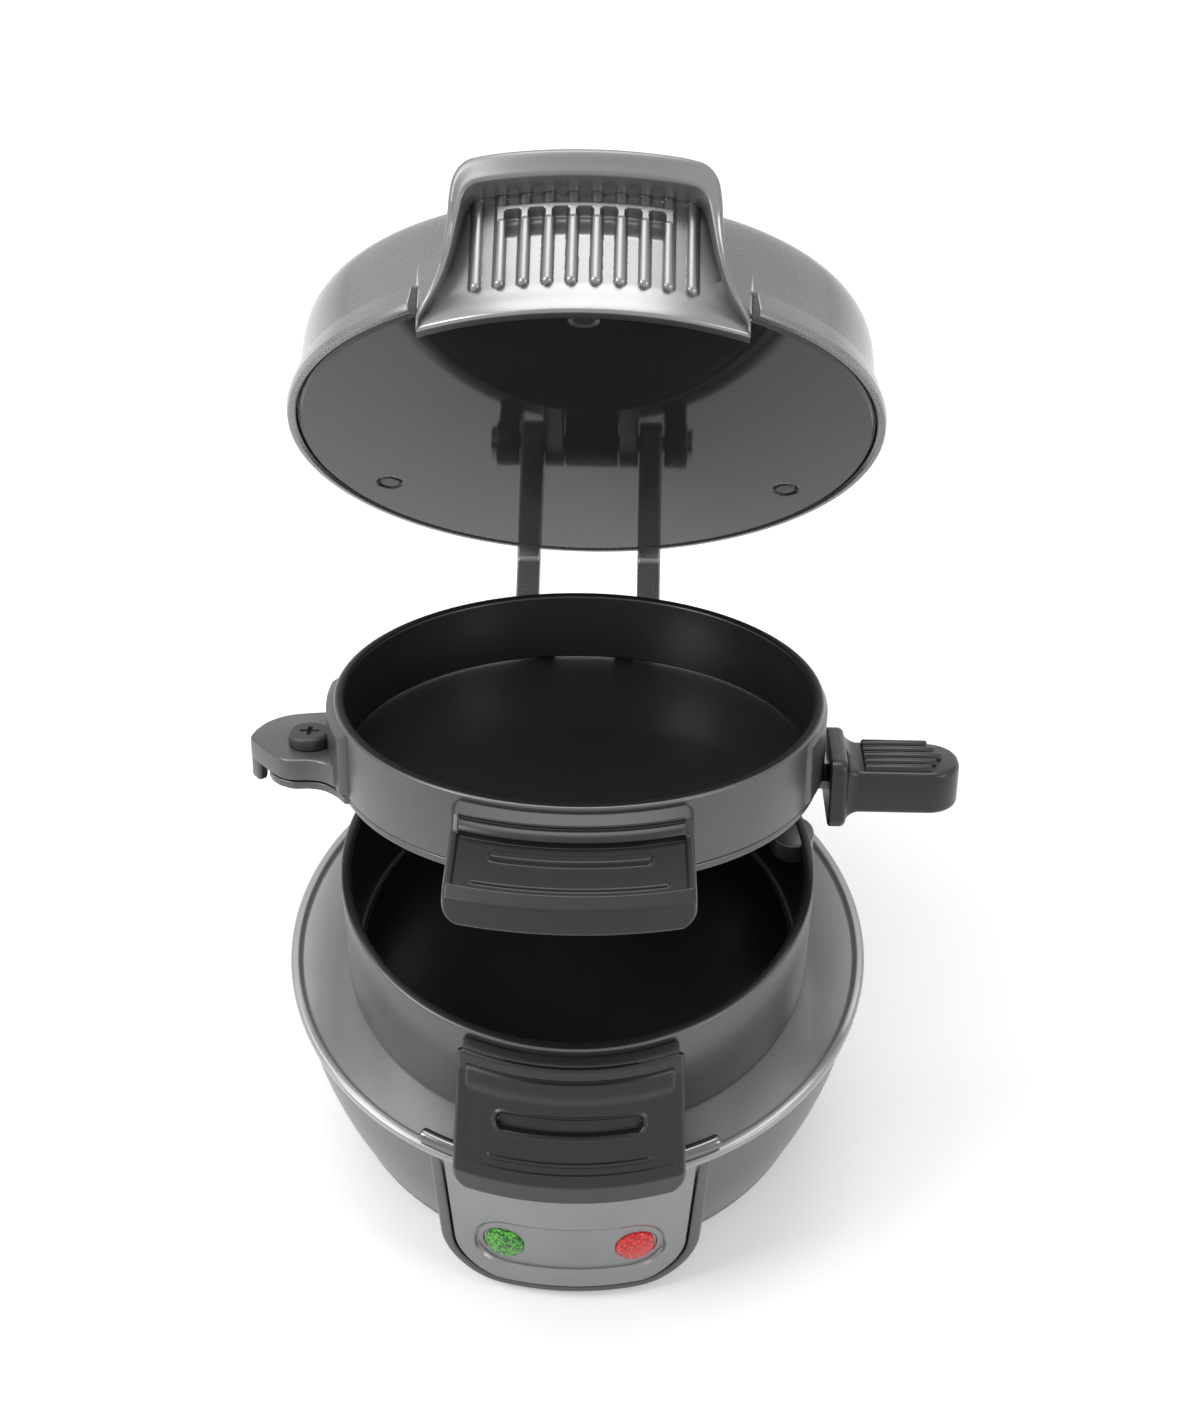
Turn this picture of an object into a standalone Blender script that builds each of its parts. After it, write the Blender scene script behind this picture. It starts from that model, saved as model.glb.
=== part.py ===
"""A round breakfast sandwich maker: base, two rings with a swinging plate between them, and a domed lid.

Every piece is modelled as it lies in the closed pot, on the pot's own axis, with the table at zero height and
the handles towards -Y. Four joints then open it to the pose shown: the lid and the rings share one pin at the
back, and the plate swings on a screw through the ear of the upper ring.
"""

import math

import bmesh
import bpy
from mathutils import Matrix, Vector

MM = 0.001

# Clearances and facets
GAP = 0.3 * MM
OVERRUN = 4.0 * MM
MERGE = 0.05 * MM
RING_STEPS = 40
SMALL_STEPS = 16
SCREW_STEPS = 12
CORNER_PIECES = 4
HALF_TURN = 180

# Feet and bottom cover
FOOT_HEIGHT = 2.5 * MM
FOOT_RADIUS = 6.0 * MM
FOOT_STEM_RADIUS = 2.4 * MM
FOOT_STEM_HEIGHT = 3.6 * MM
FOOT_INSET = 11.7 * MM
COVER_THICKNESS = 2.0 * MM
COVER_INSET = 3.3 * MM
COVER_SCREW_INSET = 3.7 * MM
VENT_LENGTH = 16.0 * MM
VENT_WIDTH = 2.4 * MM
VENT_PITCH = 6.0 * MM
VENTS = 5

# Small screws that hold covers and handles
SCREW_RADIUS = 1.5 * MM
SCREW_HEAD_RADIUS = 2.8 * MM
SCREW_HEAD_HEIGHT = 1.2 * MM
COVER_SCREW_LENGTH = 6.0 * MM

# Base shell
BASE_TAPER = 10.2 * MM
BASE_INSET = 1.0 * MM
BASE_HEIGHT = 44.4 * MM
BASE_WALL = 2.2 * MM
BASE_FILLET = 4.0 * MM
FLANGE_WIDTH = 8.0 * MM

# Deck that closes the base
DECK_SHELF = 13.8 * MM
DECK_SHEET = 1.2 * MM
DECK_BEAD_WIDTH = 2.2 * MM
DECK_BEAD_RISE = 1.0 * MM
DECK_EDGE_ROUND = 0.5 * MM
DECK_SKIRT_INSET = 6.0 * MM
DECK_SKIRT_WALL = 1.6 * MM
DECK_SKIRT_DROP = 3.0 * MM
DECK_LEDGE_WIDTH = 5.4 * MM
DECK_LEDGE_THICKNESS = 2.2 * MM

# Heating plates and what heats them
HEATER_RIM = 1.0 * MM
HEATER_THICKNESS = 4.7 * MM
HEATER_PROUD = 0.9 * MM
HEATER_CHAMFER = 0.6 * MM
ELEMENT_TUBE = 3.2 * MM
ELEMENT_INSET = 19.0 * MM
ELEMENT_LEG = 9.0 * MM
ELEMENT_GAP_DEGREES = 40.0
ELEMENT_POINTS = 26
THERMOSTAT_RADIUS = 8.0 * MM
THERMOSTAT_HEIGHT = 7.0 * MM
THERMOSTAT_STEP = 1.6 * MM
FUSE_RADIUS = 2.2 * MM
FUSE_LENGTH = 12.0 * MM
FUSE_OFFSET = 18.0 * MM

# Rings
RING_RADIUS = 52.0 * MM
RING_WALL = 2.4 * MM
RING_EDGE = 0.4 * MM
LOWER_RING_HEIGHT = 29.3 * MM
UPPER_RING_HEIGHT = 16.2 * MM
TANG_HALF_WIDTH = 5.0 * MM
TANG_THICKNESS = 2.0 * MM
RIM_LUG_PROUD = 1.5 * MM
RIM_LUG_RADIUS = 5.0 * MM
RIM_LUG_DEPTH = 6.0 * MM
RIM_LUG_DEGREES = 12.0

# Hinge at the back
HINGE_BACK = 5.8 * MM
HINGE_RISE = 15.1 * MM
KNUCKLE_RADIUS = 6.0 * MM
PIN_RADIUS = 2.5 * MM
PIN_HEAD_RADIUS = 4.2 * MM
PIN_HEAD_HEIGHT = 1.4 * MM
LOWER_KNUCKLE_HALF = 7.0 * MM
UPPER_KNUCKLE_WIDTH = 5.0 * MM
LID_KNUCKLE_WIDTH = 6.0 * MM
CHEEK_WIDTH = 6.0 * MM
CHEEK_ROOT_DROP = 21.0 * MM
CHEEK_SLOPE_DROP = 10.0 * MM
ARM_WIDTH = 8.0 * MM
ARM_ROOT = 1.2 * MM
LID_ARM_RISE = 13.0 * MM
ARM_CORNER = 3.0 * MM

# Cooking plate and its pivot
PLATE_THICKNESS = 1.9 * MM
PLATE_SHY = 0.4 * MM
PIVOT_CLEAR = 5.1 * MM
PIVOT_FORWARD = 6.7 * MM
PLATE_LUG_RADIUS = 10.6 * MM
PIVOT_RADIUS = 2.5 * MM
PIVOT_HEAD_RADIUS = 4.8 * MM
PIVOT_HEAD_HEIGHT = 2.7 * MM
PIVOT_HEAD_ROUND = 0.9 * MM
NUT_RADIUS = 4.2 * MM
NUT_HEIGHT = 1.2 * MM
CROSS_LENGTH = 4.4 * MM
CROSS_WIDTH = 1.0 * MM
CROSS_DEPTH = 1.1 * MM

# Ear on the upper ring
EAR_THICKNESS = 5.2 * MM
EAR_BACK_RADIUS = 13.4 * MM
EAR_FRONT_RADIUS = 10.9 * MM
EAR_BACK_DEGREES = (72.0, 212.0)
EAR_FRONT_DEGREES = (232.0, 292.0)
PRONG_RADIUS = 13.6 * MM
PRONG_CLEARANCE = 0.4 * MM
PRONG_DROP = 1.9 * MM
PRONG_DEGREES = (178.0, 212.0)
EAR_BOSS_PROUD = 1.7 * MM
RIGHT_BOSS_PROUD = 0.7 * MM
BOSS_BACK = 7.0 * MM
BOSS_FRONT = 24.0 * MM
BOSS_BELOW_RIM = 1.0 * MM

# Handle of the cooking plate
PLATE_TAB_HALF = 4.5 * MM
PLATE_TAB_LENGTH = 16.0 * MM
FLANGE_STANDOFF = 2.2 * MM
FLANGE_THICKNESS = 3.6 * MM
FLANGE_HALF_WIDTH = 10.0 * MM
FLANGE_HALF_HEIGHT = 7.5 * MM
GRIP_LENGTH = 26.0 * MM
GRIP_HALF_WIDTH = 7.85 * MM
GRIP_HALF_HEIGHT = 5.1 * MM
GRIP_END_RADIUS = 7.0 * MM
GRIP_ROUND = 1.4 * MM
PLATE_HANDLE_FORWARD = 5.6 * MM
GRIP_RIBS = 5
GRIP_RIB_PITCH = 2.9 * MM
GRIP_RIB_RADIUS = 0.9 * MM
GRIP_RIB_LENGTH = 16.2 * MM
GRIP_RIB_STAGGER = 1.2 * MM
GRIP_RIB_START = 4.5 * MM

# Handle of the upper ring
UPPER_HANDLE_REACH = 23.1 * MM
UPPER_HANDLE_NECK = 3.8 * MM
UPPER_HANDLE_BELOW_RIM = 1.9 * MM
UPPER_HANDLE_LIP_DROP = 1.8 * MM
UPPER_HANDLE_CREASE_DROP = 3.3 * MM
UPPER_HANDLE_CREASE_OUT = 5.2 * MM
UPPER_HANDLE_SHELF_DROP = 2.9 * MM
UPPER_HANDLE_CHAMFER = 2.0 * MM
UPPER_HANDLE_CHAMFER_DROP = 1.2 * MM
UPPER_HANDLE_TOP_HALF = 23.6 * MM
UPPER_HANDLE_BOTTOM_HALF = 25.2 * MM
HANDLE_WALL = 2.6 * MM
HANDLE_CORNER = 4.0 * MM
HANDLE_TOP_CORNER = 2.0 * MM
UPPER_BAR_HALF = 17.0 * MM
UPPER_BAR_RADIUS = 1.5 * MM
UPPER_BAR_PROUD = 0.7 * MM

# Boss inside each ring handle that takes the tang and its screw
BOSS_HALF_WIDTH = 9.0 * MM
BOSS_FLOOR = 2.2 * MM
UPPER_TANG_RISE = 5.0 * MM
UPPER_TANG_LENGTH = 11.6 * MM
LOWER_TANG_DROP = 18.0 * MM
LOWER_TANG_LENGTH = 8.1 * MM
TANG_COVER = 1.2 * MM

# Handle of the lower ring
LOWER_HANDLE_BELOW_RIM = 2.5 * MM
LOWER_HANDLE_LIP_OUT = 3.6 * MM
LOWER_HANDLE_LIP_DROP = 5.0 * MM
LOWER_HANDLE_CREASE_OUT = 6.1 * MM
LOWER_HANDLE_CREASE_DROP = 6.2 * MM
LOWER_HANDLE_REACH = 17.6 * MM
LOWER_HANDLE_PANEL_DROP = 20.7 * MM
LOWER_HANDLE_CHIN_DROP = 23.5 * MM
LOWER_HANDLE_CHIN_BACK = 1.5 * MM
LOWER_HANDLE_HEIGHT = 29.7 * MM
LOWER_HANDLE_NECK_HEIGHT = 13.0 * MM
LOWER_HANDLE_NECK = 3.4 * MM
LOWER_HANDLE_TOP_HALF = 24.3 * MM
LOWER_HANDLE_BOTTOM_HALF = 25.7 * MM
LOWER_SLOT_HALF = 15.3 * MM
LOWER_SLOT_HEIGHT = 3.8 * MM
LOWER_SLOT_DEPTH = 0.9 * MM
LOWER_SLOT_SHARE = 0.36

# Front panel with its two lamps
FRONT_TOP_INSET = 0.6 * MM
FRONT_LEAN = 0.6 * MM
FRONT_BACK_INSET = 2.8 * MM
FRONT_CHIN = 1.0 * MM
PANEL_THICKNESS = 2.0 * MM
PANEL_TOP_HALF = 28.3 * MM
PANEL_TAPER = 2.2 * MM
PANEL_LIFT = 1.8 * MM
PANEL_CORNER = 12.0 * MM
FRAME_WIDTH = 3.1 * MM
FRAME_CORNER = 14.0 * MM
WINDOW_MARGIN = 6.3 * MM
WINDOW_SILL = 7.0 * MM
LENS_SIDE_SHARE = 0.5366
LENS_HEIGHT = 16.0 * MM
LENS_RADIUS = 4.4 * MM
LENS_FLANGE_RADIUS = 5.6 * MM
LENS_FLANGE = 1.2 * MM
LENS_PROUD = 1.8 * MM
DISH_MARGIN = 8.1 * MM
DISH_LOW = 9.5 * MM
DISH_HIGH = 22.5 * MM
DISH_DEPTH = 0.7 * MM
LAMP_RADIUS = 2.6 * MM
LAMP_LENGTH = 1.6 * MM
HOLDER_THICKNESS = 1.6 * MM
HOLDER_LOW = 10.0 * MM
HOLDER_HIGH = 22.0 * MM

# Chrome bar that the lower handle rests in front of
TRIM_RADIUS = 1.6 * MM
TRIM_INSET = 1.7 * MM
TRIM_DEGREES = 29.0
TRIM_POINTS = 15

# Gland where the lead would leave
GLAND_HEIGHT = 13.5 * MM
GLAND_BORE = 3.6 * MM
GLAND_RADIUS = 5.0 * MM
GLAND_FLANGE_RADIUS = 6.6 * MM
GLAND_FLANGE = 1.8 * MM
GLAND_LENGTH = 7.0 * MM
GLAND_BOSS_RADIUS = 7.6 * MM
GLAND_BOSS_OUT = 5.6 * MM

# Lid
LID_INSET = 1.6 * MM
LID_HEIGHT = 28.2 * MM
LID_WALL = 2.2 * MM
LID_BAND_PROUD = 2.6 * MM
LID_BAND_HEIGHT = 7.0 * MM
LID_LIP = 2.6 * MM
LID_REBATE = 2.4 * MM
DOME_POWER = 8.0
DOME_ANGLE_SHARES = (1.0, 0.88, 0.75, 0.62, 0.49, 0.35, 0.18)
LID_PEG_RADIUS = 3.0 * MM
LID_PEG_OUT = 12.0 * MM
LID_PEG_RISE = 11.0 * MM
LID_PEG_BACK = 6.8 * MM
LID_SCREW_HEAD_RADIUS = 4.0 * MM
LID_SCREW_LENGTH = 6.4 * MM

# Flat plate that closes the lid, and the heating plate behind it
LINER_SHEET = 1.2 * MM
LINER_INSET = 2.9 * MM
LINER_RECESS_INSET = 2.0 * MM
TOP_HEATER_THICKNESS = 3.0 * MM
LINER_COLLAR = 3.6 * MM
LINER_SCREW_OUT = 5.4 * MM
LINER_SCREW_LENGTH = 7.0 * MM
LINER_BOSS_RADIUS = 3.4 * MM
LINER_BOSS_HEIGHT = 14.0 * MM

# Lid handle: a hood with ribs under it
HOOD_REACH = 11.4 * MM
HOOD_TOP_HALF = 28.0 * MM
HOOD_TOP_CORNER = 7.0 * MM
HOOD_WAIST_HALF = 29.3 * MM
HOOD_WAIST_RISE = 8.0 * MM
HOOD_FOOT_HALF = 34.8 * MM
HOOD_FOOT_DROP = 5.9 * MM
HOOD_FOOT_REACH = 3.0 * MM
HOOD_BELOW_TOP = 1.0 * MM
HOOD_ROUND = 1.8 * MM
HOOD_BACK_INSET = 7.0 * MM
FACE_INSET = 0.6 * MM
MOUTH_TOP_HALF = 25.4 * MM
MOUTH_TOP_CORNER = 4.0 * MM
MOUTH_WAIST_HALF = 27.0 * MM
MOUTH_WAIST_RISE = 10.0 * MM
MOUTH_FOOT_HALF = 33.2 * MM
HOOD_ROOF = 5.4 * MM
HOOD_RIBS = 10
HOOD_RIB_PITCH = 5.0 * MM
HOOD_RIB_RADIUS = 1.3 * MM
HOOD_RIB_LOW = 0.6 * MM
LEDGE_HALF = 18.0 * MM
LEDGE_PROUD = 2.0 * MM
LEDGE_HEIGHT = 2.4 * MM

# How far each joint stands open in the pose shown, in degrees
UPPER_RING_OPEN = 18.5
LID_OPEN = 64.0

# Radii that follow from the rings
RING_OUTER = RING_RADIUS + RING_WALL
DECK_RADIUS = RING_OUTER + DECK_SHELF
DECK_SKIRT_RADIUS = DECK_RADIUS - DECK_SKIRT_INSET
BASE_TOP_RADIUS = DECK_RADIUS - BASE_INSET
BASE_FOOT_RADIUS = BASE_TOP_RADIUS - BASE_TAPER
COVER_RADIUS = BASE_FOOT_RADIUS - COVER_INSET
COVER_SCREW_CIRCLE = COVER_RADIUS - COVER_SCREW_INSET
FOOT_CIRCLE = COVER_RADIUS - FOOT_INSET
ELEMENT_CIRCLE = RING_RADIUS - ELEMENT_INSET
PIVOT_OUT = RING_OUTER + PIVOT_CLEAR
FRONT_TOP_RADIUS = DECK_RADIUS - FRONT_TOP_INSET
FRONT_BOTTOM_RADIUS = FRONT_TOP_RADIUS - FRONT_LEAN
FRONT_BACK_BOTTOM = BASE_FOOT_RADIUS - FRONT_BACK_INSET
TRIM_CIRCLE = DECK_RADIUS - TRIM_INSET
GLAND_BOSS_FACE = BASE_FOOT_RADIUS + GLAND_BOSS_OUT
LID_RADIUS = DECK_RADIUS - LID_INSET
LID_BAND_RADIUS = LID_RADIUS + LID_BAND_PROUD
LINER_RADIUS = LID_BAND_RADIUS - LINER_INSET
LINER_RECESS = RING_RADIUS - LINER_RECESS_INSET
LINER_SCREW_CIRCLE = LINER_RECESS + LINER_SCREW_OUT
HOOD_BACK_RADIUS = LID_RADIUS - HOOD_BACK_INSET
FACE_RADIUS = LID_BAND_RADIUS - FACE_INSET

# Places on the front panel that follow from its width
PANEL_BOTTOM_HALF = PANEL_TOP_HALF - PANEL_TAPER
WINDOW_HALF = PANEL_TOP_HALF - WINDOW_MARGIN
DISH_HALF = PANEL_TOP_HALF - DISH_MARGIN
LENS_DEGREES = math.degrees(math.asin(PANEL_TOP_HALF * LENS_SIDE_SHARE / FRONT_BOTTOM_RADIUS))

# Heights that follow from the stack of pieces
BASE_BOTTOM = FOOT_HEIGHT
BASE_TOP = BASE_BOTTOM + BASE_HEIGHT
DECK_BOTTOM = BASE_TOP + GAP
DECK_TOP = DECK_BOTTOM + DECK_SHEET
LOWER_RING_BOTTOM = DECK_TOP + GAP
LOWER_RING_TOP = LOWER_RING_BOTTOM + LOWER_RING_HEIGHT
PLATE_BOTTOM = LOWER_RING_TOP + GAP
PLATE_TOP = PLATE_BOTTOM + PLATE_THICKNESS
PLATE_MIDDLE = (PLATE_BOTTOM + PLATE_TOP) / 2
UPPER_RING_BOTTOM = PLATE_TOP + GAP
UPPER_RING_TOP = UPPER_RING_BOTTOM + UPPER_RING_HEIGHT
LID_BOTTOM = UPPER_RING_TOP + GAP
LID_TOP = LID_BOTTOM + LID_HEIGHT
HINGE_Y = DECK_RADIUS + HINGE_BACK
HINGE_Z = DECK_TOP + HINGE_RISE
HINGE = Vector((0, HINGE_Y, HINGE_Z))
PIVOT = Vector((-PIVOT_OUT, -PIVOT_FORWARD, PLATE_MIDDLE))

carrier_places = {}


def clear_scene():
    """Remove whatever the open scene holds."""
    for obj in list(bpy.data.objects):
        bpy.data.objects.remove(obj, do_unlink=True)


def new_collection(name):
    """A collection under the scene's own."""
    made = bpy.data.collections.new(name)
    bpy.context.scene.collection.children.link(made)
    return made


def new_material(name, colour, roughness, metallic=0.0):
    """A Principled material with the photographed finish."""
    made = bpy.data.materials.new(name)
    made.use_nodes = True
    shader = made.node_tree.nodes["Principled BSDF"]
    shader.inputs["Base Color"].default_value = (*colour, 1)
    shader.inputs["Roughness"].default_value = roughness
    shader.inputs["Metallic"].default_value = metallic
    made.diffuse_color = (*colour, 1)
    return made


def new_carrier(name, place, parent=None, turn=(0, 0, 0)):
    """An empty on a joint's axis, at its place in the closed pot."""
    empty = bpy.data.objects.new(name, None)
    parts.objects.link(empty)
    carrier_places[name] = Vector(place)
    empty.location = Vector(place)
    if parent:
        empty.parent = parent
        empty.location = Vector(place) - carrier_places[parent.name]
    empty.rotation_euler = turn
    return empty


def hang_on(obj, carrier):
    """Parent an object that was made in the closed pot's coordinates."""
    obj.parent = carrier
    obj.location = obj.location - carrier_places[carrier.name]


def piece(obj, carrier, finish):
    """Add a finished sub-part to the assembly."""
    parts.objects.link(obj)
    hang_on(obj, carrier)
    obj.data.materials.append(finish)
    return obj


def combine(target, tool, operation):
    """Boolean a tool into a piece, with the tool kept as a hidden guide beside it."""
    tools.objects.link(tool)
    hang_on(tool, target.parent)
    tool.hide_render = True
    tool.display_type = "WIRE"
    modifier = target.modifiers.new(tool.name, "BOOLEAN")
    modifier.operation = operation
    modifier.solver = "EXACT"
    modifier.object = tool
    return tool


def cut(target, tool):
    """Take a tool's shape away."""
    return combine(target, tool, "DIFFERENCE")


def join(target, tool):
    """Add a tool's shape."""
    return combine(target, tool, "UNION")


def keep_inside(target, tool):
    """Keep only what lies inside a tool."""
    return combine(target, tool, "INTERSECT")


def from_bmesh(name, shape):
    """An object that holds a bmesh."""
    mesh = bpy.data.meshes.new(name)
    shape.to_mesh(mesh)
    shape.free()
    return bpy.data.objects.new(name, mesh)


def box(name, low, high):
    """A block between two corners."""
    low = Vector(low)
    high = Vector(high)
    size = high - low
    shape = bmesh.new()
    where = Matrix.Translation((low + high) / 2) @ Matrix.Diagonal((*size, 1))
    bmesh.ops.create_cube(shape, size=1, matrix=where)
    return from_bmesh(name, shape)


def rod(name, radius, start, end, segments=SMALL_STEPS):
    """A round bar between two points."""
    start = Vector(start)
    end = Vector(end)
    along = end - start
    where = Matrix.Translation((start + end) / 2) @ along.to_track_quat("Z", "Y").to_matrix().to_4x4()
    shape = bmesh.new()
    bmesh.ops.create_cone(shape, cap_ends=True, segments=segments, radius1=radius, radius2=radius,
                          depth=along.length, matrix=where)
    return from_bmesh(name, shape)


def turned(name, profile, steps=RING_STEPS, centre=(0, 0, 0), tilt=(0, 0, 0)):
    """A profile of radius and height turned about the upright through its centre.

    The profile runs down its outer side. One that starts off the axis is a closed loop.
    """
    mesh = bpy.data.meshes.new(name)
    count = len(profile)
    edges = [(index, index + 1) for index in range(count - 1)]
    if profile[0][0] > 0:
        edges.append((count - 1, 0))
    mesh.from_pydata([(radius, 0, height) for radius, height in profile], edges, [])
    obj = bpy.data.objects.new(name, mesh)
    obj.location = Vector(centre)
    obj.rotation_euler = tilt
    screw = obj.modifiers.new("turn", "SCREW")
    screw.steps = steps
    screw.render_steps = steps
    screw.use_merge_vertices = True
    screw.merge_threshold = MERGE
    screw.use_smooth_shade = True
    return obj


def soften(obj, width, segments=2):
    """Round the edges of a plain block."""
    bevel = obj.modifiers.new("soften", "BEVEL")
    bevel.width = width
    bevel.segments = segments
    bevel.limit_method = "ANGLE"
    return obj


def rounded(corners, radii, pieces=CORNER_PIECES):
    """An outline with each corner turned on its own radius."""
    points = []
    count = len(corners)
    for index, radius in enumerate(radii):
        here = Vector(corners[index])
        if radius == 0:
            points.append(here)
            continue
        back = (Vector(corners[index - 1]) - here).normalized()
        ahead = (Vector(corners[(index + 1) % count]) - here).normalized()
        half = back.angle(ahead) / 2
        middle = here + (back + ahead).normalized() * radius / math.sin(half)
        start = here + back * radius / math.tan(half) - middle
        end = here + ahead * radius / math.tan(half) - middle
        sweep = start.angle_signed(end)
        for step in range(pieces + 1):
            turn = Matrix.Rotation(-sweep * step / pieces, 2)
            points.append(middle + turn @ start)
    return points


def arc(centre, radius, degrees, pieces):
    """Points along an arc, with angles counted from +X."""
    points = []
    for step in range(pieces + 1):
        angle = math.radians(degrees[0] + (degrees[1] - degrees[0]) * step / pieces)
        points.append(Vector(centre) + Vector((math.cos(angle), math.sin(angle))) * radius)
    return points


def as_mesh(obj):
    """Turn a curve object into a welded mesh in the pot's coordinates."""
    bpy.context.scene.collection.objects.link(obj)
    bpy.context.view_layer.update()
    graph = bpy.context.evaluated_depsgraph_get()
    mesh = bpy.data.meshes.new_from_object(obj.evaluated_get(graph))
    mesh.transform(obj.matrix_world)
    name = obj.name
    bpy.data.objects.remove(obj, do_unlink=True)
    shape = bmesh.new()
    shape.from_mesh(mesh)
    bmesh.ops.remove_doubles(shape, verts=shape.verts, dist=MERGE / 5)
    bmesh.ops.recalc_face_normals(shape, faces=shape.faces)
    return from_bmesh(name, shape)


def outline_solid(name, points, low, high, facing):
    """A flat outline given thickness from low to high along the axis that it faces.

    Facing Z takes points as (x, y), facing Y as (x, z) and facing X as (y, z).
    """
    curve = bpy.data.curves.new(name, "CURVE")
    curve.dimensions = "2D"
    curve.fill_mode = "BOTH"
    curve.extrude = (high - low) / 2
    spline = curve.splines.new("POLY")
    spline.points.add(len(points) - 1)
    for spot, point in zip(spline.points, points):
        spot.co = (point[0], point[1], 0, 1)
    spline.use_cyclic_u = True
    obj = bpy.data.objects.new(name, curve)
    middle = (low + high) / 2
    if facing == "Z":
        obj.matrix_world = Matrix.Translation((0, 0, middle))
    elif facing == "Y":
        obj.matrix_world = Matrix.Translation((0, middle, 0)) @ Matrix.Rotation(math.radians(90), 4, "X")
    else:
        upright = Matrix(((0, 0, 1, 0), (1, 0, 0, 0), (0, 1, 0, 0), (0, 0, 0, 1)))
        obj.matrix_world = Matrix.Translation((middle, 0, 0)) @ upright
    return as_mesh(obj)


def tube(name, points, radius, cyclic=False):
    """A round tube along a list of points."""
    curve = bpy.data.curves.new(name, "CURVE")
    curve.dimensions = "3D"
    curve.bevel_depth = radius
    curve.bevel_resolution = 2
    curve.use_fill_caps = True
    spline = curve.splines.new("POLY")
    spline.points.add(len(points) - 1)
    for spot, point in zip(spline.points, points):
        spot.co = (*point, 1)
    spline.use_cyclic_u = cyclic
    return as_mesh(bpy.data.objects.new(name, curve))


def around(radius, degrees, height):
    """A point on a circle about the pot's axis, with zero at the front and +X at 90 degrees."""
    angle = math.radians(degrees)
    return Vector((radius * math.sin(angle), -radius * math.cos(angle), height))


def shell_radius(height):
    """Outer radius of the base shell, which widens steadily from foot to deck."""
    share = (height - BASE_BOTTOM) / BASE_HEIGHT
    return BASE_FOOT_RADIUS + (BASE_TOP_RADIUS - BASE_FOOT_RADIUS) * share


def front_outline(grow, corner, low):
    """Front view of the panel, grown on its sides for the frame round it."""
    top = BASE_TOP + OVERRUN
    corners = [(-PANEL_TOP_HALF - grow, top), (-PANEL_BOTTOM_HALF - grow, low),
               (PANEL_BOTTOM_HALF + grow, low), (PANEL_TOP_HALF + grow, top)]
    return rounded(corners, [0, corner, corner, 0], CORNER_PIECES * 2)


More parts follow.
